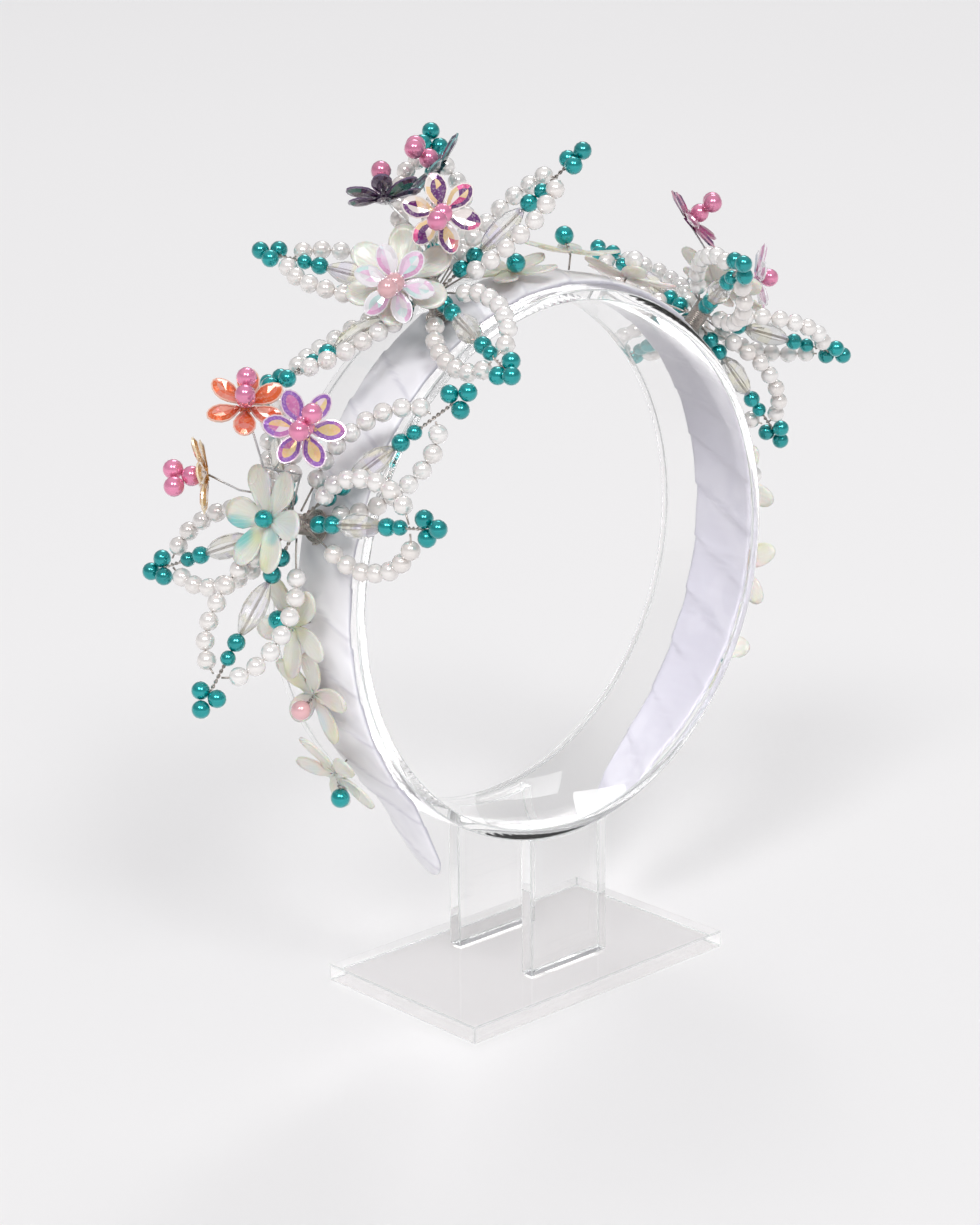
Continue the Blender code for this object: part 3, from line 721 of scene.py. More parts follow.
def look(name, kind, values, constants, bump=0.0, attributes=None, coordinates=None):
    """A material: an effect feeds what changes over the surface, constants sit on the shader."""
    if name in made_looks:
        return made_looks[name]
    if kind not in made_effects:
        made_effects[kind] = EFFECTS[kind]()
    material = bpy.data.materials.new(name)
    material.use_nodes = True
    tree = material.node_tree
    shader = tree.nodes["Principled BSDF"]
    place = tree.nodes.new("ShaderNodeGroup")
    place.node_tree = made_effects[kind]
    source = tree.nodes.new("ShaderNodeTexCoord")
    tree.links.new(source.outputs["Object"], place.inputs["Vector"])
    for label in coordinates or ():
        tree.links.new(source.outputs["UV"], place.inputs[label])
    for label, value in values.items():
        place.inputs[label].default_value = value
    for label, attribute in (attributes or {}).items():
        read = tree.nodes.new("ShaderNodeAttribute")
        read.attribute_name = attribute
        tree.links.new(read.outputs["Fac"], place.inputs[label])
    if "Colour" in place.outputs:
        tree.links.new(place.outputs["Colour"], shader.inputs["Base Color"])
    tree.links.new(place.outputs["Roughness"], shader.inputs["Roughness"])
    if bump:
        relief = tree.nodes.new("ShaderNodeBump")
        relief.inputs["Strength"].default_value = 1.0
        relief.inputs["Distance"].default_value = bump
        tree.links.new(place.outputs["Height"], relief.inputs["Height"])
        tree.links.new(relief.outputs["Normal"], shader.inputs["Normal"])
    for label, value in constants.items():
        shader.inputs[label].default_value = value
    made_looks[name] = material
    return material


def light_through(material, shade):
    """Lets most of the light through a clear piece, so that it casts only a faint shadow."""
    tree = material.node_tree
    ray = tree.nodes.new("ShaderNodeLightPath").outputs["Is Shadow Ray"]
    shown = maths(tree, "MULTIPLY_ADD", ray, shade - 1, 1.0)
    tree.links.new(shown, tree.nodes["Principled BSDF"].inputs["Alpha"])


def opaque(colour):
    return (*colour[:3], 1.0)


def darker(colour, share):
    return (*(part * share for part in colour[:3]), 1.0)


def lacquer(name, light, shade, cloud, extra, pits=0.002 * MM):
    """The pearl lacquer of a round bead, under a clear coat."""
    values = {"Light": opaque(light), "Shade": opaque(shade), "Cloud": cloud, "Gloss": 0.12}
    constants = {"Coat Weight": 1.0, "Coat Roughness": 0.03, **extra}
    return look(name, "bead_skin", values, constants, pits, {"Tint": "tint"})


def pearl_look(beads):
    extra = {"Coat IOR": 1.6, "Metallic": 0.36}
    return lacquer("white_lacquer", beads.pearl_colour, beads.pearl_shade, 0.25, extra)


def teal_look(beads):
    shade = darker(beads.teal_colour, 0.45)
    return lacquer("teal_lacquer", beads.teal_colour, shade, 0.4, {"Metallic": 0.7}, 0.003 * MM)


def pink_look(beads):
    shade = darker(beads.pink_colour, 0.6)
    return lacquer("pink_lacquer", beads.pink_colour, shade, 0.3, {"Metallic": 0.5})


def blush_look(beads):
    shade = darker(beads.blush_colour, 0.7)
    return lacquer("blush_lacquer", beads.blush_colour, shade, 0.3, {"Metallic": 0.2})


def crystal_look():
    values = {
        "Scale": 130.0,
        "Spread": 0.8,
        "Deep": (1.0, 1.0, 1.0, 1),
        "Middle": (1.0, 0.99, 0.95, 1),
        "Bright": (1.0, 0.97, 0.80, 1),
        "Pale": (0.90, 0.86, 1.0, 1),
        "Painted glints": 0.0,
    }
    clear = {"Transmission Weight": 0.78, "IOR": 1.32, "Coat Weight": 1.0, "Coat Roughness": 0.02}
    return look("cut_crystal", "rainbow_film", values, clear, attributes={"Facet": "facet"})


def metal_look(name, bright, dull):
    values = {"Bright": opaque(bright), "Dull": opaque(dull)}
    return look(name, "drawn_metal", values, {"Metallic": 0.9}, 0.004 * MM)


def wire_look(beads):
    return metal_look("brown_wire", beads.wire_colour, darker(beads.wire_colour, 0.5))


def stem_look():
    return metal_look("silver_wire", (0.72, 0.72, 0.72), (0.42, 0.42, 0.42))


# Sizes and colours a user may change


def a_length(label, description, value, least=0):
    """A size in metres, written here in millimetres."""
    return bpy.props.FloatProperty(
        name=label, description=description, default=value * MM, min=least * MM, unit="LENGTH"
    )


def an_amount(label, description, value, least=0, most=1e6, unit="NONE"):
    return bpy.props.FloatProperty(
        name=label, description=description, default=value, min=least, max=most, unit=unit
    )


def a_colour(label, description, value):
    return bpy.props.FloatVectorProperty(
        name=label, description=description, default=value, min=0, max=1, subtype="COLOR"
    )


class StandSettings(bpy.types.PropertyGroup):
    edge: a_length("Edge", "Width of the cut edges of the clear plates", 0.35)
    hoop_steps: bpy.props.IntProperty(
        name="Hoop steps", description="Number of steps round the clear hoop", default=160, min=32
    )
    bend: an_amount("Refraction", "How strongly the clear plastic bends light", 1.13, 1)
    shade: an_amount("Shade", "Share of the light that the clear plastic holds back", 0.03, most=1)
    edge_colour: a_colour("Edge colour", "Colour of the cut edges of the plastic", (0.72, 0.74, 0.74))
    tint: a_colour("Tint", "Colour of the clear plastic", (0.997, 0.995, 0.993))


class BandSettings(bpy.types.PropertyGroup):
    wrap_pitch: a_length("Wrap pitch", "Distance between two turns of the satin along the band", 13.5, 4)
    wrap_slant: an_amount("Wrap slant", "How far a turn moves along the band over its width", 0.6)
    fold_depth: a_length("Fold depth", "Height of the satin's overlaps and soft folds", 0.36)
    # painted shade: how far the inner side, towards the head, is darkened towards the fold colour
    inner_painted_shade: an_amount("Inner shade", "How much duller the satin is towards the head", 0.85, most=1)
    satin_colour: a_colour("Satin", "Colour of the satin in the light", (0.96, 0.95, 0.985))
    # the darker colour of the satin's painted shade, also reached by its random colour drift
    drift_and_shade_colour: a_colour("Folds", "Colour of the satin in its folds", (0.60, 0.585, 0.665))


class BeadSettings(bpy.types.PropertyGroup):
    pearl_size: a_length("Pearl", "Diameter of the white pearls", 4.2, 1)
    teal_size: a_length("Teal bead", "Diameter of the teal beads", 4, 1)
    teal_small_size: a_length("Small teal bead", "Diameter of the teal bead next to the twist", 3.4, 1)
    crystal_length: a_length("Crystal length", "Length of the long cut crystal beads", 12, 1)
    crystal_width: a_length("Crystal width", "Width of the long cut crystal beads", 5.6, 1)
    pink_size: a_length("Pink pearl", "Diameter of the pink pearls", 4.4, 1)
    wire_size: a_length("Wire", "Diameter of the craft wire", 0.42)
    pearl_colour: a_colour("Pearl colour", "Colour of the white pearls", (0.93, 0.915, 0.905))
    pearl_shade: a_colour("Pearl shade", "Colour of the duller pearls", (0.78, 0.70, 0.65))
    teal_colour: a_colour("Teal colour", "Colour of the teal beads", (0.0, 0.40, 0.41))
    pink_colour: a_colour("Pink colour", "Colour of the pearls on the blooms", (0.90, 0.29, 0.49))
    blush_colour: a_colour("Blush colour", "Colour of the pale pink beads", (0.86, 0.50, 0.53))
    wire_colour: a_colour("Wire colour", "Colour of the twisted wire", (0.60, 0.54, 0.50))


class FlowerSettings(bpy.types.PropertyGroup):
    petal_thick: a_length("Petal thickness", "Thickness of the thin moulded petals", 0.5, 0.1)
    milk_colour: a_colour("Milk", "Main colour of the thin moulded petals", (0.90, 0.87, 0.80))
    gem_thick: a_length("Cut petal thickness", "Thickness of the small blooms' petals", 1.3, 0.1)
    gem_length: a_length("Cut petal length", "Length of a cut petal from the bloom's middle", 8.8, 1)
    gem_width: a_length("Cut petal width", "Width of the small blooms' petals", 4.9, 1)


class StageSettings(bpy.types.PropertyGroup):
    floor_colour: a_colour("Floor", "Colour of the floor and backdrop", (0.86, 0.85, 0.855))
    key_power: an_amount("Key lights", "Power of each soft box", 1800.0, unit="POWER")
    fill: an_amount("Fill", "Strength of the light from all round", 0.62)


class HeadbandSettings(bpy.types.PropertyGroup):
    stand: bpy.props.PointerProperty(type=StandSettings)
    band: bpy.props.PointerProperty(type=BandSettings)
    beads: bpy.props.PointerProperty(type=BeadSettings)
    flowers: bpy.props.PointerProperty(type=FlowerSettings)
    stage: bpy.props.PointerProperty(type=StageSettings)


# Operators


class HEADBAND_OT_stand(bpy.types.Operator):
    """Make the clear base, posts and hoop"""

    bl_idname = "headband.stand"
    bl_label = "Clear stand"

    def execute(self, context):
        stand = context.scene.headband.stand
        clear = look(
            "polished_acrylic",
            "clear_wear",
            {"Scuffs": 0.5},
            {
                "Base Color": opaque(stand.tint),
                "Transmission Weight": 1.0,
                "IOR": stand.bend,
                "Coat Weight": 1.0,
                "Coat IOR": 1.49,
                "Coat Roughness": 0.02,
            },
            0.02 * MM,
        )
        edge = look(
            "frosted_edge",
            "clear_wear",
            {"Scuffs": 1.0},
            {
                "Base Color": opaque(stand.edge_colour),
                "Transmission Weight": 0.55,
                "IOR": 1.3,
                "Coat Weight": 1.0,
            },
            0.02 * MM,
        )
        looks = [clear, edge]
        for material in looks:
            light_through(material, stand.shade)
        self.make_base(stand, looks)
        self.make_posts(stand, looks)
        self.make_hoop(stand, looks)
        return {"FINISHED"}

    def make_base(self, stand, looks):
        part = bmesh.new()
        bmesh.ops.create_cube(part, size=1)
        bmesh.ops.scale(part, verts=part.verts, vec=BASE_SIZE)
        bmesh.ops.translate(part, verts=part.verts, vec=(0, 0, BASE_SIZE[2] / 2))
        polish(part, part.edges[:], stand.edge)
        bm = new_piece()
        add(bm, part, None, smooth=False)
        finished(bm, "clear_base", "clear_acrylic", looks, "stand_base")

    def make_posts(self, stand, looks):
        seat = HOOP_RADIUS + GAP
        foot = BASE_SIZE[2] + GAP
        outer = HOOP_WIDTH / 2 - POST_INSET
        for name, side in (("front", -1), ("back", 1)):
            part = bmesh.new()
            bmesh.ops.create_grid(part, x_segments=POST_STEPS, y_segments=1, size=0.5)
            for vert in part.verts:
                x = vert.co.x * POST_WIDTH
                top = HOOP_HEIGHT - math.sqrt(seat**2 - x**2)
                height = top if vert.co.y > 0 else foot
                vert.co = (x, side * outer, height)
            made = bmesh.ops.extrude_face_region(part, geom=part.faces[:], use_keep_orig=True)
            moved = [item for item in made["geom"] if isinstance(item, bmesh.types.BMVert)]
            bmesh.ops.translate(part, verts=moved, vec=(0, -side * POST_THICK, 0))
            bmesh.ops.recalc_face_normals(part, faces=part.faces)
            sharp = [edge for edge in part.edges if edge.calc_face_angle(0) > math.radians(CUT_ANGLE)]
            polish(part, sharp, stand.edge)
            bm = new_piece()
            add(bm, part, None, smooth=False)
            finished(bm, "clear_post_" + name, "clear_acrylic", looks, "stand_post_" + name)

    def make_hoop(self, stand, looks):
        part = bmesh.new()
        middle = HOOP_RADIUS - HOOP_WALL / 2
        bmesh.ops.create_grid(part, x_segments=1, y_segments=1, size=0.5)
        for vert in part.verts:
            vert.co = (middle + vert.co.x * HOOP_WALL, vert.co.y * HOOP_WIDTH, 0)
        bmesh.ops.bevel(
            part,
            geom=part.verts[:],
            offset=stand.edge,
            segments=BEVEL_STEPS,
            profile=0.5,
            affect="VERTICES",
            material=-1,
        )
        for face in part.faces[:]:
            part.faces.remove(face)
        bmesh.ops.translate(part, verts=part.verts, vec=(0, 0, HOOP_HEIGHT))
        bmesh.ops.spin(
            part,
            geom=part.verts[:] + part.edges[:],
            cent=(0, 0, HOOP_HEIGHT),
            axis=(0, 1, 0),
            angle=2 * math.pi,
            steps=stand.hoop_steps,
            use_merge=True,
        )
        bmesh.ops.remove_doubles(part, verts=part.verts, dist=MERGE)
        strip = stand.edge * 2 * math.pi * HOOP_RADIUS / stand.hoop_steps
        for face in part.faces:
            face.material_index = 1 if face.calc_area() < strip else 0
        bm = new_piece()
        add(bm, part, None, smooth=True)
        hoop = finished(bm, "clear_hoop", "clear_acrylic", looks, "stand_hoop")
        hoop.data.set_sharp_from_angle(angle=math.radians(SHARP_ANGLE))


def polish(part, edges, width):
    """Rounds the edges as a cut plate has them, with the look of cut plastic."""
    made = bmesh.ops.bevel(
        part,
        geom=edges,
        offset=width,
        segments=BEVEL_STEPS,
        profile=0.5,
        affect="EDGES",
        material=-1,
        clamp_overlap=True,
    )
    for face in made["faces"]:
        face.material_index = 1


def band_radius(degrees):
    """Inner radius of the band: it hugs the hoop and its tails flare away below."""
    if degrees > LEAVES[1]:
        share = (degrees - LEAVES[1]) / (BAND_TIPS[1] - LEAVES[1])
        return BAND_INNER + FLARES[1] * share**FLARE_POWER
    if degrees < LEAVES[0]:
        share = (LEAVES[0] - degrees) / (LEAVES[0] - BAND_TIPS[0])
        return BAND_INNER + FLARES[0] * share**FLARE_POWER
    return BAND_INNER


def band_half_width(degrees):
    """Half the width: full over the head, narrowing down the tails to round tips."""
    to_tip = max(0.0, min(degrees - BAND_TIPS[0], BAND_TIPS[1] - degrees))
    taper = max(0.0, 1 - to_tip / TAIL_TAPER)
    half = BAND_WIDTH / 2 * (1 - (1 - TAIL_WIDTH_SHARE) * taper**2)
    turn = min(1.0, (to_tip + TIP_BLUNT) / TIP_ROUND)
    return half * math.sqrt(1 - (1 - turn) ** 2)


def band_middle(degrees):
    return BAND_MIDDLE + BAND_SKEW * HOOP_RADIUS * math.cos(math.radians(degrees))


class HEADBAND_OT_band(bpy.types.Operator):
    """Make the band wrapped in satin"""

    bl_idname = "headband.band"
    bl_label = "Satin band"

    steps = 640
    sides = 36
    # where in a turn the painted shade line at the satin's lap lies, how wide it is and how far it
    # wanders, in turns
    lap_place = 0.06
    lap_width = 0.06
    lap_wander = 0.03
    lap_fall = 1.5

    def execute(self, context):
        band = context.scene.headband.band
        satin = look(
            "lavender_satin",
            "satin_weave",
            {"Light": opaque(band.satin_colour), "Fold": opaque(band.drift_and_shade_colour)},
            {"Sheen Weight": 0.35, "Sheen Roughness": 0.3, "Anisotropic": 0.5, "Coat Weight": 0.08},
            0.03 * MM,
            {"Painted shade": "tint"},
            ("Wrap",),
        )
        part = bmesh.new()
        ring = bmesh.ops.create_circle(part, segments=self.sides, radius=1)["verts"]
        frames = [Matrix.Translation((0, 0, step)) for step in range(self.steps + 1)]
        lofted(part, frames, ring)
        caps = [edge for edge in part.edges if edge.is_boundary]
        bmesh.ops.holes_fill(part, edges=caps, sides=0)
        # the satin's tint layer holds its painted shade
        painted_shades = part.verts.layers.float.new("tint")
        part.faces.layers.float.new("facet")
        wraps = part.verts.layers.float_vector.new("wrap")
        for vert in part.verts:
            place, painted_shade, wrap = self.satin_point(band, vert.co)
            vert.co = place
            vert[painted_shades] = painted_shade
            vert[wraps] = wrap
        uv = part.loops.layers.uv.new("UVMap")
        for face in part.faces:
            face.smooth = True
            for loop in face.loops:
                wrap = loop.vert[wraps]
                loop[uv].uv = (wrap.x, wrap.y)
        bmesh.ops.recalc_face_normals(part, faces=part.faces)
        finished(part, "satin_wrap", "satin", [satin], "satin_band")
        return {"FINISHED"}

    def satin_point(self, band, flat):
        """Where a point of the plain tube lies on the band, how much painted shade it gets, and its wrap
        place.
        """
        share = flat.z / self.steps
        degrees = BAND_TIPS[0] + (BAND_TIPS[1] - BAND_TIPS[0]) * share
        half = band_half_width(degrees)
        side = math.copysign(abs(flat.x) ** 0.7, flat.x)
        lift = math.copysign(abs(flat.y) ** 0.42, flat.y)
        depth = BAND_THICK * min(1.0, half / (BAND_THICK * 1.2))
        arc = math.radians(degrees) * BAND_OUTER
        over = 1 if flat.y > 0 else -1
        slanted = arc + over * side * BAND_WIDTH / 2 * band.wrap_slant
        turn = slanted / band.wrap_pitch
        number = math.floor(turn)
        inside = turn - number
        wobble = noise.noise(Vector((number * 3.7, side * 1.3, over * 2.0)))
        lap = self.lap_place + self.lap_wander * wobble
        edge = max(0.0, 1 - abs(inside - lap) / self.lap_width)
        step = band.fold_depth * (1 - inside) ** self.lap_fall
        soft = noise.noise(Vector((turn * 2.3 + side * 0.7, side * 2.1, over * 5.0)))
        ripple = noise.noise(Vector((turn * 7.0 + side * 2.2, side * 1.2, 9.0 + over)))
        puff = step + band.fold_depth * (0.5 * soft + 0.22 * ripple) - band.fold_depth
        middle = band_radius(degrees) + BAND_DOME * (1 - side**2) + BAND_THICK / 2
        shrink = 1 + puff / (BAND_WIDTH / 2)
        radius = middle + lift * (depth / 2 + puff * 0.8)
        place = hoop_point(degrees, radius, band_middle(degrees) + side * half * min(1.0, shrink))
        # painted shade: a dark line along each lap, and darker dips where the soft folds sink
        painted_shade = 0.5 * edge + 0.4 * max(0.0, -soft)
        # painted shade over the whole inner side, towards the head
        if over < 0:
            painted_shade += band.inner_painted_shade
        return place, painted_shade, Vector((slanted, side * half, 0))


class HEADBAND_OT_bindings(bpy.types.Operator):
    """Make the wound wire that holds each cluster"""

    bl_idname = "headband.bindings"
    bl_label = "Wire bindings"

    def execute(self, context):
        beads = context.scene.headband.beads
        for cluster in clusters():
            bm = new_piece()
            self.wind(bm, cluster, beads)
            name = cluster["name"] + "_binding_wire"
            finished(bm, name, "binding_wire", [wire_look(beads)], cluster["name"] + "_binding")
        return {"FINISHED"}

    def wind(self, bm, cluster, beads):
        """Close turns of wire up the post, over a flat coil that spreads its foot on the band."""
        along, _, out = cluster["ways"]
        base = cluster["base"]
        size = beads.wire_size * BINDING_WIRE
        post = HUB_THICK / 2
        part = bmesh.new()
        bmesh.ops.create_cone(
            part,
            cap_ends=True,
            segments=16,
            radius1=post - size * 0.6,
            radius2=post - size * 1.2,
            depth=HUB_RISE,
            matrix=standing(base + out * HUB_RISE / 2, out),
        )
        add(bm, part)
        turns = (HUB_RISE - HUB_FOOT_RISE - size) / (size * WIND_PITCH)
        start = base + out * (HUB_FOOT_RISE + size / 2)
        travel = out * size * WIND_PITCH * turns
        arm = along * (post - size / 2)
        coiled(bm, start, arm, out, travel, turns, int(turns * WIND_STEPS), size, 6)
        inner = post * 0.6
        coil = []
        for step in range(COIL_STEPS + 1):
            turn = step / COIL_STEPS
            radius = inner + (HUB_FOOT / 2 - size / 2 - inner) * turn
            way = way_from(cluster["ways"], turn * 360 * COIL_TURNS, 0)
            coil.append(base + out * size * (0.55 + 0.6 * (1 - turn)) + way * radius)
        wire(bm, coil, size)


class HEADBAND_OT_pearl_strings(bpy.types.Operator):
    """Make the string of pearls round each beaded petal"""

    bl_idname = "headband.pearl_strings"
    bl_label = "Pearl strings"

    def execute(self, context):
        beads = context.scene.headband.beads
        materials = [pearl_look(beads), wire_look(beads)]
        for number, petal in enumerate(petals()):
            chance = random.Random(100 + number)
            bm = new_piece()
            for side in (1, -1):
                self.string(bm, petal, beads, side, chance)
            name = petal["name"]
            finished(bm, name + "_pearl_string", "white_pearl", materials, name + "_pearls")
        return {"FINISHED"}

    def string(self, bm, petal, beads, side, chance):
        """One side of the leaf: bare wire at the foot, pearls round the edge, wire at the crossing."""
        twist_length = petal["run"] - TIP_SPREAD - strand_stations(petal, beads)[3]
        cross = petal["run"] - TIP_SPREAD - twist_length / 2
        middle = (LOOP_FOOT + cross) / 2
        half = (cross - LOOP_FOOT) / 2
        edge = []
        first, last = LOOP_TURNS
        for step in range(LOOP_STEPS + 1):
            turn = math.radians(first + (last - first) * step / LOOP_STEPS)
            edge.append((middle - half * math.cos(turn), petal["half"] * MM * math.sin(turn)))

        def point(far, off, rise=0.0):
            level = petal["foot"] + petal["aim"] * far + petal["side"] * off * side
            return level + petal["face"] * rise

        def bow(way):
            return petal[way] * chance.uniform(-PEARL_BOW, PEARL_BOW)

        path = [point(far, off) for far, off in edge]
        places = [place + bow("face") + bow("side") for place in spaced(path, beads.pearl_size)]
        over = petal["over"] * (SOLID_WIRE + GAP)
        far, off = edge[0]
        route = [point(SOLID_WIRE / 2, WIRE_PITCH), point(far * 0.55, WIRE_PITCH + off * 0.4)]
        route += places
        route.append(point(cross, CROSSING, over))
        wire(bm, smooth_path(route, 3), beads.wire_size, 1)
        base_tint = chance.uniform(0.0, 0.2)
        for index, place in enumerate(places):
            before = places[max(0, index - 1)]
            after = places[min(len(places) - 1, index + 1)]
            size = beads.pearl_size * chance.uniform(0.975, 1.0)
            tint = base_tint + chance.uniform(-0.05, 0.25)
            bead(bm, place, size, (after - before).normalized(), 0, tint)


class HEADBAND_OT_strands(bpy.types.Operator):
    """Make the teal beads and twisted wire down the middle of each beaded petal"""

    bl_idname = "headband.strands"
    bl_label = "Teal strands"

    def execute(self, context):
        beads = context.scene.headband.beads
        materials = [teal_look(beads), wire_look(beads)]
        for number, petal in enumerate(petals()):
            chance = random.Random(300 + number)
            bm = new_piece()
            foot, aim, tip, side = (petal[key] for key in ("foot", "aim", "tip", "side"))
            bare, crystal, last, end = strand_stations(petal, beads)
            teal = beads.teal_size
            centres = [
                (bare + teal / 2, teal),
                (bare + teal * 1.5, teal),
                (last + teal / 2, teal),
                (last + teal + beads.teal_small_size / 2, beads.teal_small_size),
            ]
            for far, size in centres:
                bead(bm, foot + aim * far, size * BEAD_FIT, aim, 0, chance.uniform(0, 0.3))
            tips = (side * teal * 0.5, side * teal * -0.5, aim * teal * 0.87)
            for off in tips:
                bead(bm, tip + off, teal * BEAD_FIT, side, 0, chance.uniform(0, 0.3))
            twist(bm, foot + aim * 0.2 * MM, foot + aim * (bare + 0.3 * MM), beads.wire_size, 1)
            wire(bm, [foot + aim * bare, foot + aim * (end - 0.5 * MM)], beads.wire_size * 1.5, 1)
            twist(bm, foot + aim * (end - 0.4 * MM), tip - aim * teal * 0.1, beads.wire_size, 1)
            name = petal["name"]
            finished(bm, name + "_teal_strand", "teal_pearl", materials, name + "_strand")
        return {"FINISHED"}


class HEADBAND_OT_crystals(bpy.types.Operator):
    """Make the long cut crystal bead of each beaded petal"""

    bl_idname = "headband.crystals"
    bl_label = "Cut crystals"

    # how far along the bead, and the share of its width there
    profile = ((0, 0.26), (0.1, 0.52), (0.26, 0.84), (0.5, 1), (0.74, 0.84), (0.9, 0.52), (1, 0.26))
    facets = 8

    def execute(self, context):
        beads = context.scene.headband.beads
        for number, petal in enumerate(petals()):
            chance = random.Random(500 + number)
            _, start, end, _ = strand_stations(petal, beads)
            turned = standing(petal["foot"], petal["aim"], petal["face"])
            part = bmesh.new()
            frames = []
            for far, width in self.profile:
                size = beads.crystal_width / 2 * width
                height = start + (end - start) * far
                step = Matrix.Translation((0, 0, height)) @ Matrix.Diagonal((size, size, 1, 1))
                frames.append(turned @ step)
            ring = bmesh.ops.create_circle(part, segments=self.facets, radius=1, matrix=frames[0])
            lofted(part, frames, ring["verts"])
            bm = new_piece()
            add(bm, part, 0, False, 0.0, lambda: chance.uniform(0.0, 1.0))
            name = petal["name"]
            finished(bm, name + "_crystal", "crystal", [crystal_look()], name + "_strand")
        return {"FINISHED"}


def moulded_flower(bm, matrix, count, radius, notch, cup, thick, ripple, seed, blunt=0.55):
    """A thin moulded flower: a polar grid with a lobed rim, a trough down each petal, thickened."""
    part = bmesh.new()
    per_petal = 14
    rings = 9
    bmesh.ops.create_grid(part, x_segments=count * per_petal, y_segments=rings, size=0.5)
    coordinates = part.verts.layers.float_vector.new("petal")
    for vert in part.verts:
        turn = 2 * math.pi * (vert.co.x + 0.5)
        share = vert.co.y + 0.5
        wave = abs(math.cos(turn * count / 2))
        lobe = wave**blunt
        reach = share * (notch + (radius - notch) * lobe)
        lift = cup * (reach / radius) ** 2
        trough = ripple * share * (0.5 - wave)
        own = noise.noise(Vector((math.cos(turn) * 1.6, math.sin(turn) * 1.6, seed + share)))
        lift += trough + own * ripple * 0.5 * share
        number = math.floor(turn * count / (2 * math.pi) + 0.5)
        across = turn * count / (2 * math.pi) - number
        vert[coordinates] = (share + number * 3.1 + seed, across, 0)
        vert.co = (reach * math.cos(turn), reach * math.sin(turn), lift)
    bmesh.ops.remove_doubles(part, verts=part.verts, dist=MERGE)
    bmesh.ops.recalc_face_normals(part, faces=part.faces)
    uv = part.loops.layers.uv.new("UVMap")
    bmesh.ops.solidify(part, geom=part.faces[:], thickness=thick)
    for face in part.faces:
        for loop in face.loops:
            loop[uv].uv = loop.vert[coordinates].xy
    bmesh.ops.translate(part, verts=part.verts, vec=(0, 0, thick / 2))
    bmesh.ops.transform(part, matrix=matrix, verts=part.verts)
    add(bm, part)


def petal_look(flowers, name, share, warm, cool, rose):
    return look(
        name,
        "petal_film",
        {
            "Milk": opaque(flowers.milk_colour),
            "Warm tint": opaque(warm),
            "Cool tint": opaque(cool),
            "Rose tint": opaque(rose),
            "Tint share": share,
        },
        {
            "Transmission Weight": 0.18,
            "Subsurface Weight": 0.4,
            "Subsurface Scale": 0.002,
            "Coat Weight": 0.35,
            "Coat Roughness": 0.12,
        },
        0.03 * MM,
        None,
        ("Across petal",),
    )


class HEADBAND_OT_large_flowers(bpy.types.Operator):
    """Make the large cupped flower over each binding"""

    bl_idname = "headband.large_flowers"
    bl_label = "Large flowers"

    def execute(self, context):
        settings = context.scene.headband
        beads = settings.beads
        flowers = settings.flowers
        tints = {
            "low": (0.85, (0.80, 0.82, 0.45), (0.12, 0.62, 0.62), (0.86, 0.86, 0.93)),
            "high": (0.45, (0.90, 0.85, 0.68), (0.80, 0.88, 0.83), (0.93, 0.84, 0.78)),
            "far": (0.3, (0.88, 0.85, 0.66), (0.80, 0.88, 0.90), (0.93, 0.86, 0.86)),
        }
        for number, cluster in enumerate(clusters()):
            share, warm, cool, rose = tints[cluster["name"]]
            film = petal_look(flowers, cluster["name"] + "_petal_film", share, warm, cool, rose)
            out = cluster["ways"][2]
            face = cluster["face"]
            middle = cluster["middle"]
            bm = new_piece()
            moulded_flower(
                bm,
                standing(middle, face, way_from(cluster["ways"], 30, 0)),
                6,
                FLOWER_RADIUS,
                FLOWER_NOTCH,
                FLOWER_CUP,
                flowers.petal_thick,
                FLOWER_RIPPLE,
                number * 7.0,
            )
            foot = cluster["foot"]
            route = [foot - out * MM, foot + out * SOLID_WIRE]
            route += [middle - face * GAP, middle + face * SOLID_WIRE]
            wire(bm, smooth_path(route, 3), beads.wire_size, 1)
            if cluster["flower_bead"]:
                bead(bm, middle + face * beads.teal_size * 0.56, beads.teal_size, face, 2)
            materials = [film, wire_look(beads), teal_look(beads)]
            name = cluster["name"]
            finished(bm, name + "_cream_flower", "cream_petal", materials, name + "_flower")
        return {"FINISHED"}


def cut_petal(bm, matrix, length, width, thick, shares, chance):
    """A drop-shaped petal cut like a stone: a pale rim, sloping facets and a ridged table."""
    part = bmesh.new()
    bmesh.ops.create_cone(part, cap_ends=True, segments=16, radius1=0.5, radius2=0.5, depth=thick * 0.3)
    for vert in part.verts:
        share = vert.co.x + 0.5
        narrow = 0.3 + 0.7 * math.sin(math.pi / 2 * min(1.0, share * 1.5))
        vert.co.x = share * length
        vert.co.y *= width * narrow
    facets = part.faces.layers.float.new("facet")
    for face in part.faces:
        face[facets] = 1.0
    outer, inner = ([chance.choice(values) for _ in range(4)] for values in shares)

    def recut(faces, values):
        for face in faces:
            middle = face.calc_center_median()
            group = (middle.y > 0) + 2 * (middle.x > length * PETAL_TIP)
            face[facets] = values[group] + chance.uniform(-0.04, 0.04)

    caps = [face for face in part.faces if abs(face.normal.z) > 0.9]
    bmesh.ops.inset_individual(part, faces=caps, thickness=width * PETAL_RIM, use_even_offset=True)
    slopes = bmesh.ops.inset_individual(
        part,
        faces=caps,
        thickness=width * PETAL_SLOPE,
        depth=thick * PETAL_SLOPE_RISE,
        use_even_offset=True,
    )["faces"]
    recut(slopes, outer)
    top = [face for face in caps if face.normal.z > 0]
    recut([face for face in caps if face.normal.z < 0], outer)
    poked = bmesh.ops.poke(part, faces=top)
    recut(poked["faces"], inner)
    bmesh.ops.translate(part, verts=poked["verts"], vec=(length * 0.08, 0, -thick * 0.3))
    bmesh.ops.transform(part, matrix=matrix, verts=part.verts)
    add(bm, part, smooth=False)


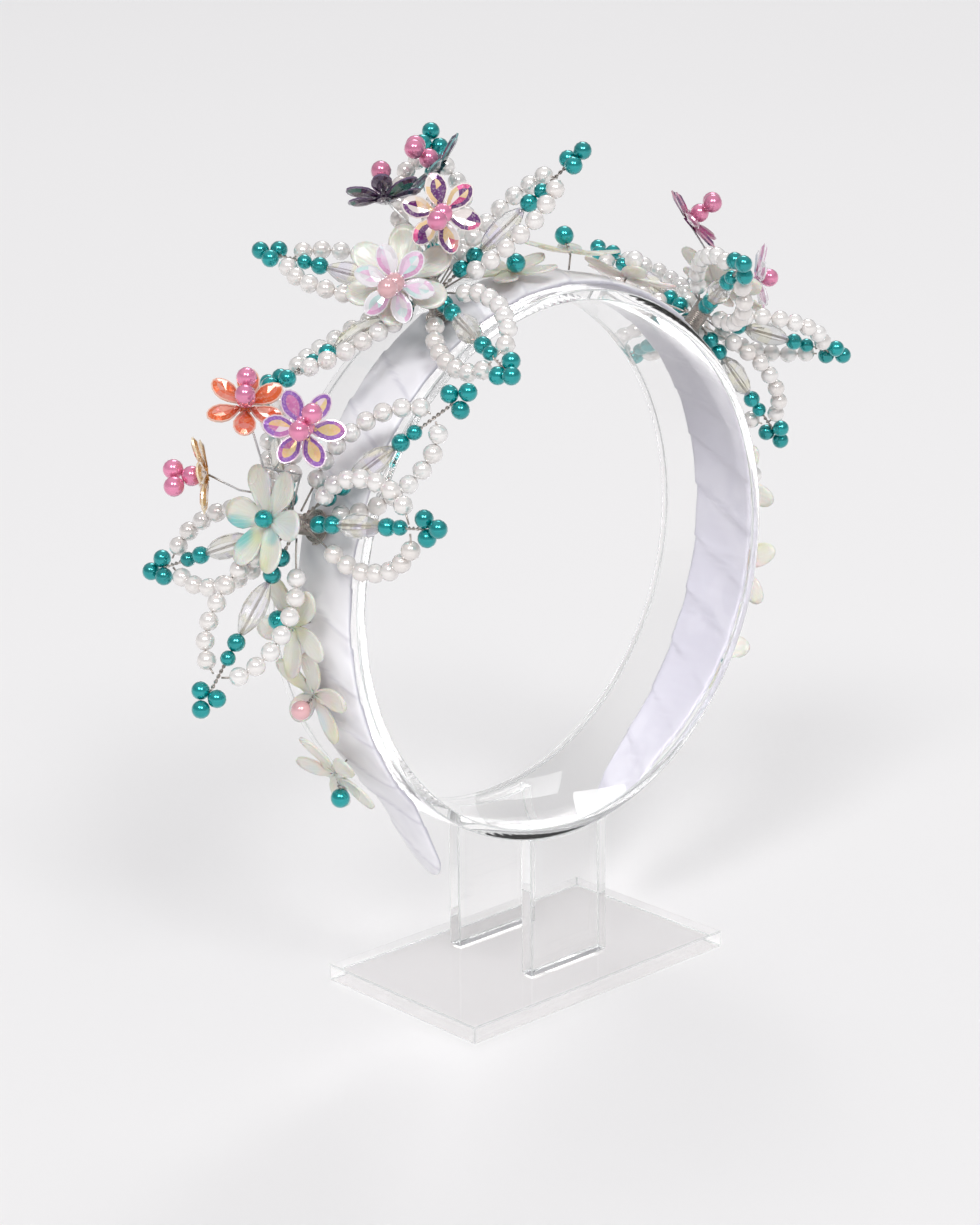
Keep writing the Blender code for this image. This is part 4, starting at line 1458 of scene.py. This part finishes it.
class HEADBAND_OT_blooms(bpy.types.Operator):
    """Make the small cut blooms that tremble on wire stems, with their pink pearls"""

    bl_idname = "headband.blooms"
    bl_label = "Cut blooms"

    petal_count = 6

    def execute(self, context):
        settings = context.scene.headband
        found = {cluster["name"]: cluster for cluster in clusters()}
        for number, bloom in enumerate(rows(BLOOMS, BLOOM_COLUMNS)):
            self.make_bloom(settings, found[bloom["cluster"]], bloom, number)
        return {"FINISHED"}

    def make_bloom(self, settings, cluster, bloom, number):
        beads = settings.beads
        flowers = settings.flowers
        chance = random.Random(700 + number)
        name = bloom["cluster"] + "_" + bloom["colour"]
        ways = cluster["ways"]
        out = ways[2]
        level = way_from(ways, bloom["way"], 0)
        middle = cluster["wires"] + level * bloom["off"] * MM + out * bloom["height"] * MM
        face = compass_way(bloom["face_way"], bloom["face_climb"])
        bm = new_piece()
        stand = standing(middle, face)
        start = Matrix.Translation((PETAL_START, 0, 0))
        length = flowers.gem_length - PETAL_START
        for index in range(self.petal_count):
            play = chance.uniform(-PETAL_TURN_PLAY, PETAL_TURN_PLAY)
            turn = Matrix.Rotation(2 * math.pi * index / self.petal_count + play, 4, "Z")
            play = chance.uniform(-PETAL_CUP_PLAY, PETAL_CUP_PLAY)
            cup = Matrix.Rotation(-math.atan2(BLOOM_CUP, BLOOM_RADIUS) + play, 4, "Y")
            place = stand @ turn @ cup @ start
            width = flowers.gem_width * chance.uniform(0.94, 1.04)
            cut_petal(bm, place, length, width, flowers.gem_thick, BLOOM_FACETS[name], chance)
        part = bmesh.new()
        bmesh.ops.create_cone(
            part,
            cap_ends=True,
            segments=12,
            radius1=1.5 * MM,
            radius2=1.0 * MM,
            depth=1.2 * MM,
            matrix=stand,
        )
        add(bm, part, 0, False, 0.0, lambda: 0.1)
        if bloom["carrier"] == "flower":
            disc = cluster["middle"] + cluster["face"] * (FLOWER_THICK / 2)
            route = [disc, disc + cluster["face"] * SOLID_WIRE * 2]
        else:
            gate = way_from(ways, bloom["exit_way"], 0)
            below = cluster["stems"] + gate * bloom["exit_off"] * MM + out * SOLID_WIRE
            above = below + out * (cluster["rise"] + HUB_RISE - HUB_STEMS + FLOWER_CUP + STEM_CLEAR)
            route = [cluster["stems"] + gate * (HUB_THICK / 2), below, above]
        route.append(middle - face * 0.3 * MM)
        wire(bm, route, beads.wire_size * 1.1, 1)
        colours = BLOOM_COLOURS[name]
        film = look(
            name + "_film",
            "rainbow_film",
            dict(zip(("Deep", "Middle", "Bright", "Pale"), map(opaque, colours))),
            {"Metallic": 0.25, "Transmission Weight": 0.15, "Coat Weight": 1.0, "Coat Roughness": 0.02},
            0.002 * MM,
            {"Facet": "facet"},
        )
        bloom_name = bloom["cluster"] + "_bloom_" + bloom["colour"]
        slot = "bloom_" + bloom["colour"]
        finished(bm, bloom_name + "_petals", slot, [film, stem_look()], bloom_name)
        self.make_heart(settings, bloom, bloom_name, middle, face, chance)

    def make_heart(self, settings, bloom, bloom_name, middle, face, chance):
        """The pearls over the middle of a bloom, on short wires."""
        beads = settings.beads
        size = beads.pink_size
        side = face.orthogonal().normalized()
        first = middle + face * size * 0.68
        step = face * size * 0.86
        places = [first]
        if bloom["pearls"] == 3:
            places += [first + step + side * size * 0.51, first + step - side * size * 0.51]
        elif bloom["pearls"] == 2:
            places.append(first + step + side * size * 0.5)
        skin = blush_look(beads) if bloom_name == "high_bloom_pale" else pink_look(beads)
        bm = new_piece()
        for place in places:
            bead(bm, place, size, face, 0, chance.uniform(0, 0.4))
            wire(bm, [middle + face * 0.5 * MM, place], beads.wire_size, 1)
        finished(bm, bloom_name + "_heart", "pink_pearl", [skin, wire_look(beads)], bloom_name)


class HEADBAND_OT_band_flowers(bpy.types.Operator):
    """Make the thin flowers sewn along the band, each with a bead on a bent wire"""

    bl_idname = "headband.band_flowers"
    bl_label = "Band flowers"

    def execute(self, context):
        settings = context.scene.headband
        beads = settings.beads
        flowers = settings.flowers
        film = petal_look(
            flowers,
            "band_petal_film",
            0.6,
            (0.84, 0.82, 0.48),
            (0.62, 0.84, 0.90),
            (0.92, 0.74, 0.76),
        )
        skins = {"teal": teal_look, "blush": blush_look, "white": pearl_look}
        for number, spray in enumerate(rows(SPRAYS, SPRAY_COLUMNS)):
            ways = hoop_ways(spray["hoop"])
            foot = hoop_point(spray["hoop"], BAND_OUTER, spray["across"] * MM)
            middle = foot + ways[2] * (GAP + SPRAY_THICK / 2 + spray["rise"] * MM)
            bm = new_piece()
            moulded_flower(
                bm,
                standing(middle, ways[2], way_from(ways, spray["turn"], 0)),
                5,
                SPRAY_RADIUS,
                SPRAY_NOTCH,
                SPRAY_CUP,
                flowers.petal_thick,
                SPRAY_RIPPLE,
                20.0 + number * 3.0,
                1.05,
            )
            reach = way_from(ways, spray["wire_way"], spray["wire_climb"]) * spray["wire_length"] * MM
            wire(bm, [foot, middle], beads.wire_size, 1)
            twist(bm, middle, middle + reach, beads.wire_size, 1, SPRAY_TWIST_PITCH)
            bead(bm, middle + reach, SPRAY_BEAD, reach.normalized(), 2)
            materials = [film, wire_look(beads), skins[spray["bead"]](beads)]
            name = "band_flower_" + spray["name"]
            finished(bm, name + "_petals", "cream_petal", materials, name)
        return {"FINISHED"}


class HEADBAND_OT_stage(bpy.types.Operator):
    """Make the floor, soft lights and camera"""

    bl_idname = "headband.stage"
    bl_label = "Stage"

    def execute(self, context):
        stage = context.scene.headband.stage
        self.make_floor(stage)
        self.make_lights(context, stage)
        self.make_camera(context)
        return {"FINISHED"}

    def make_floor(self, stage):
        """A wide pale floor that fills the picture."""
        bm = bmesh.new()
        bmesh.ops.create_circle(bm, cap_ends=True, segments=96, radius=9)
        mesh = bpy.data.meshes.new("floor")
        bm.to_mesh(mesh)
        bm.free()
        floor = bpy.data.objects.new("floor", mesh)
        bpy.context.scene.collection.objects.link(floor)
        material = bpy.data.materials.new("floor")
        material.use_nodes = True
        tree = material.node_tree
        shader = tree.nodes["Principled BSDF"]
        source = tree.nodes.new("ShaderNodeTexCoord")
        cloud = noisy(tree, source.outputs["Object"], 1.3, 1.0)
        colour = opaque(stage.floor_colour)
        feed(tree, mixed(tree, cloud, colour, darker(colour, 0.985)), shader.inputs["Base Color"])
        shader.inputs["Roughness"].default_value = 0.6
        mesh.materials.append(material)

    def make_lights(self, context, stage):
        """Two soft boxes over the camera, a larger one behind, and a glow all round."""
        world = bpy.data.worlds.new("glow")
        world.use_nodes = True
        tree = world.node_tree
        ground = tree.nodes["Background"]
        source = tree.nodes.new("ShaderNodeTexCoord")
        height = node(tree, "SeparateXYZ", None, i0=source.outputs["Generated"]).outputs[2]
        low = ranged(tree, height, 0.02, 0.35)
        high = ranged(tree, height, 0.35, 0.95)
        colour = mixed(tree, low, (1.0, 1.0, 1.0, 1), (0.55, 0.55, 0.57, 1))
        feed(tree, mixed(tree, high, colour, (1.0, 1.0, 1.0, 1)), ground.inputs["Color"])
        ground.inputs["Strength"].default_value = stage.fill
        context.scene.world = world
        context.scene.view_settings.view_transform = "Standard"
        target = Vector((-0.01, 0, 0.12))
        for name, azimuth, elevation, size, power in (
            ("left_box", -62, 44, 6.4, stage.key_power),
            ("right_box", -22, 42, 6.4, stage.key_power),
            ("back_box", 130, 50, 9.0, stage.key_power * 0.5),
        ):
            lamp = bpy.data.lights.new(name, "AREA")
            lamp.shape = "SQUARE"
            lamp.size = size
            lamp.energy = power
            way = view_way(azimuth, elevation)
            box = bpy.data.objects.new(name, lamp)
            box.location = target + way * 24
            box.rotation_euler = way.to_track_quat("Z", "Y").to_euler()
            context.scene.collection.objects.link(box)

    def make_camera(self, context):
        lens = bpy.data.cameras.new("camera")
        lens.sensor_width = SENSOR
        lens.sensor_fit = "AUTO"
        lens.lens = CAMERA_FOCAL_PIXELS / IMAGE_LONG_SIDE * SENSOR
        lens.clip_start = 0.01
        lens.clip_end = 20
        back = view_way(CAMERA_AZIMUTH, CAMERA_ELEVATION)
        turn = math.radians(CAMERA_AZIMUTH)
        right = Vector((math.cos(turn), math.sin(turn), 0))
        up = back.cross(right)
        roll = math.radians(CAMERA_ROLL)
        rolled = right * math.cos(roll) + up * math.sin(roll)
        turned = Matrix((rolled, back.cross(rolled), back)).transposed()
        camera = bpy.data.objects.new("camera", lens)
        camera.matrix_world = Matrix.Translation(CAMERA_PLACE) @ turned.to_4x4()
        context.scene.collection.objects.link(camera)
        context.scene.camera = camera


def view_way(azimuth, elevation):
    """The unit way from the object to a viewer at this azimuth and elevation."""
    turn = math.radians(azimuth)
    rise = math.radians(elevation)
    return Vector((math.sin(turn) * math.cos(rise), -math.cos(turn) * math.cos(rise), math.sin(rise)))


class HEADBAND_PT_panel(bpy.types.Panel):
    """The headband's pieces and their settings"""

    bl_idname = "HEADBAND_PT_panel"
    bl_label = "Tembleque headband"
    bl_space_type = "VIEW_3D"
    bl_region_type = "UI"
    bl_category = "Headband"

    def draw(self, context):
        settings = context.scene.headband
        for name in ("stand", "band", "beads", "flowers", "stage"):
            box = self.layout.box()
            group = getattr(settings, name)
            for key in group.__annotations__:
                box.prop(group, key)
        for operator in OPERATORS:
            self.layout.operator(operator.bl_idname)


OPERATORS = (
    HEADBAND_OT_stand,
    HEADBAND_OT_band,
    HEADBAND_OT_bindings,
    HEADBAND_OT_pearl_strings,
    HEADBAND_OT_strands,
    HEADBAND_OT_crystals,
    HEADBAND_OT_large_flowers,
    HEADBAND_OT_blooms,
    HEADBAND_OT_band_flowers,
    HEADBAND_OT_stage,
)
GROUPS = (StandSettings, BandSettings, BeadSettings, FlowerSettings, StageSettings, HeadbandSettings)


def register():
    for group in (*GROUPS, *OPERATORS, HEADBAND_PT_panel):
        bpy.utils.register_class(group)
    bpy.types.Scene.headband = bpy.props.PointerProperty(type=HeadbandSettings)


def unregister():
    del bpy.types.Scene.headband
    for group in reversed((*GROUPS, *OPERATORS, HEADBAND_PT_panel)):
        bpy.utils.unregister_class(group)


def main():
    register()
    for operator in OPERATORS:
        family, action = operator.bl_idname.split(".")
        getattr(getattr(bpy.ops, family), action)()


if __name__ == "__main__":
    main()
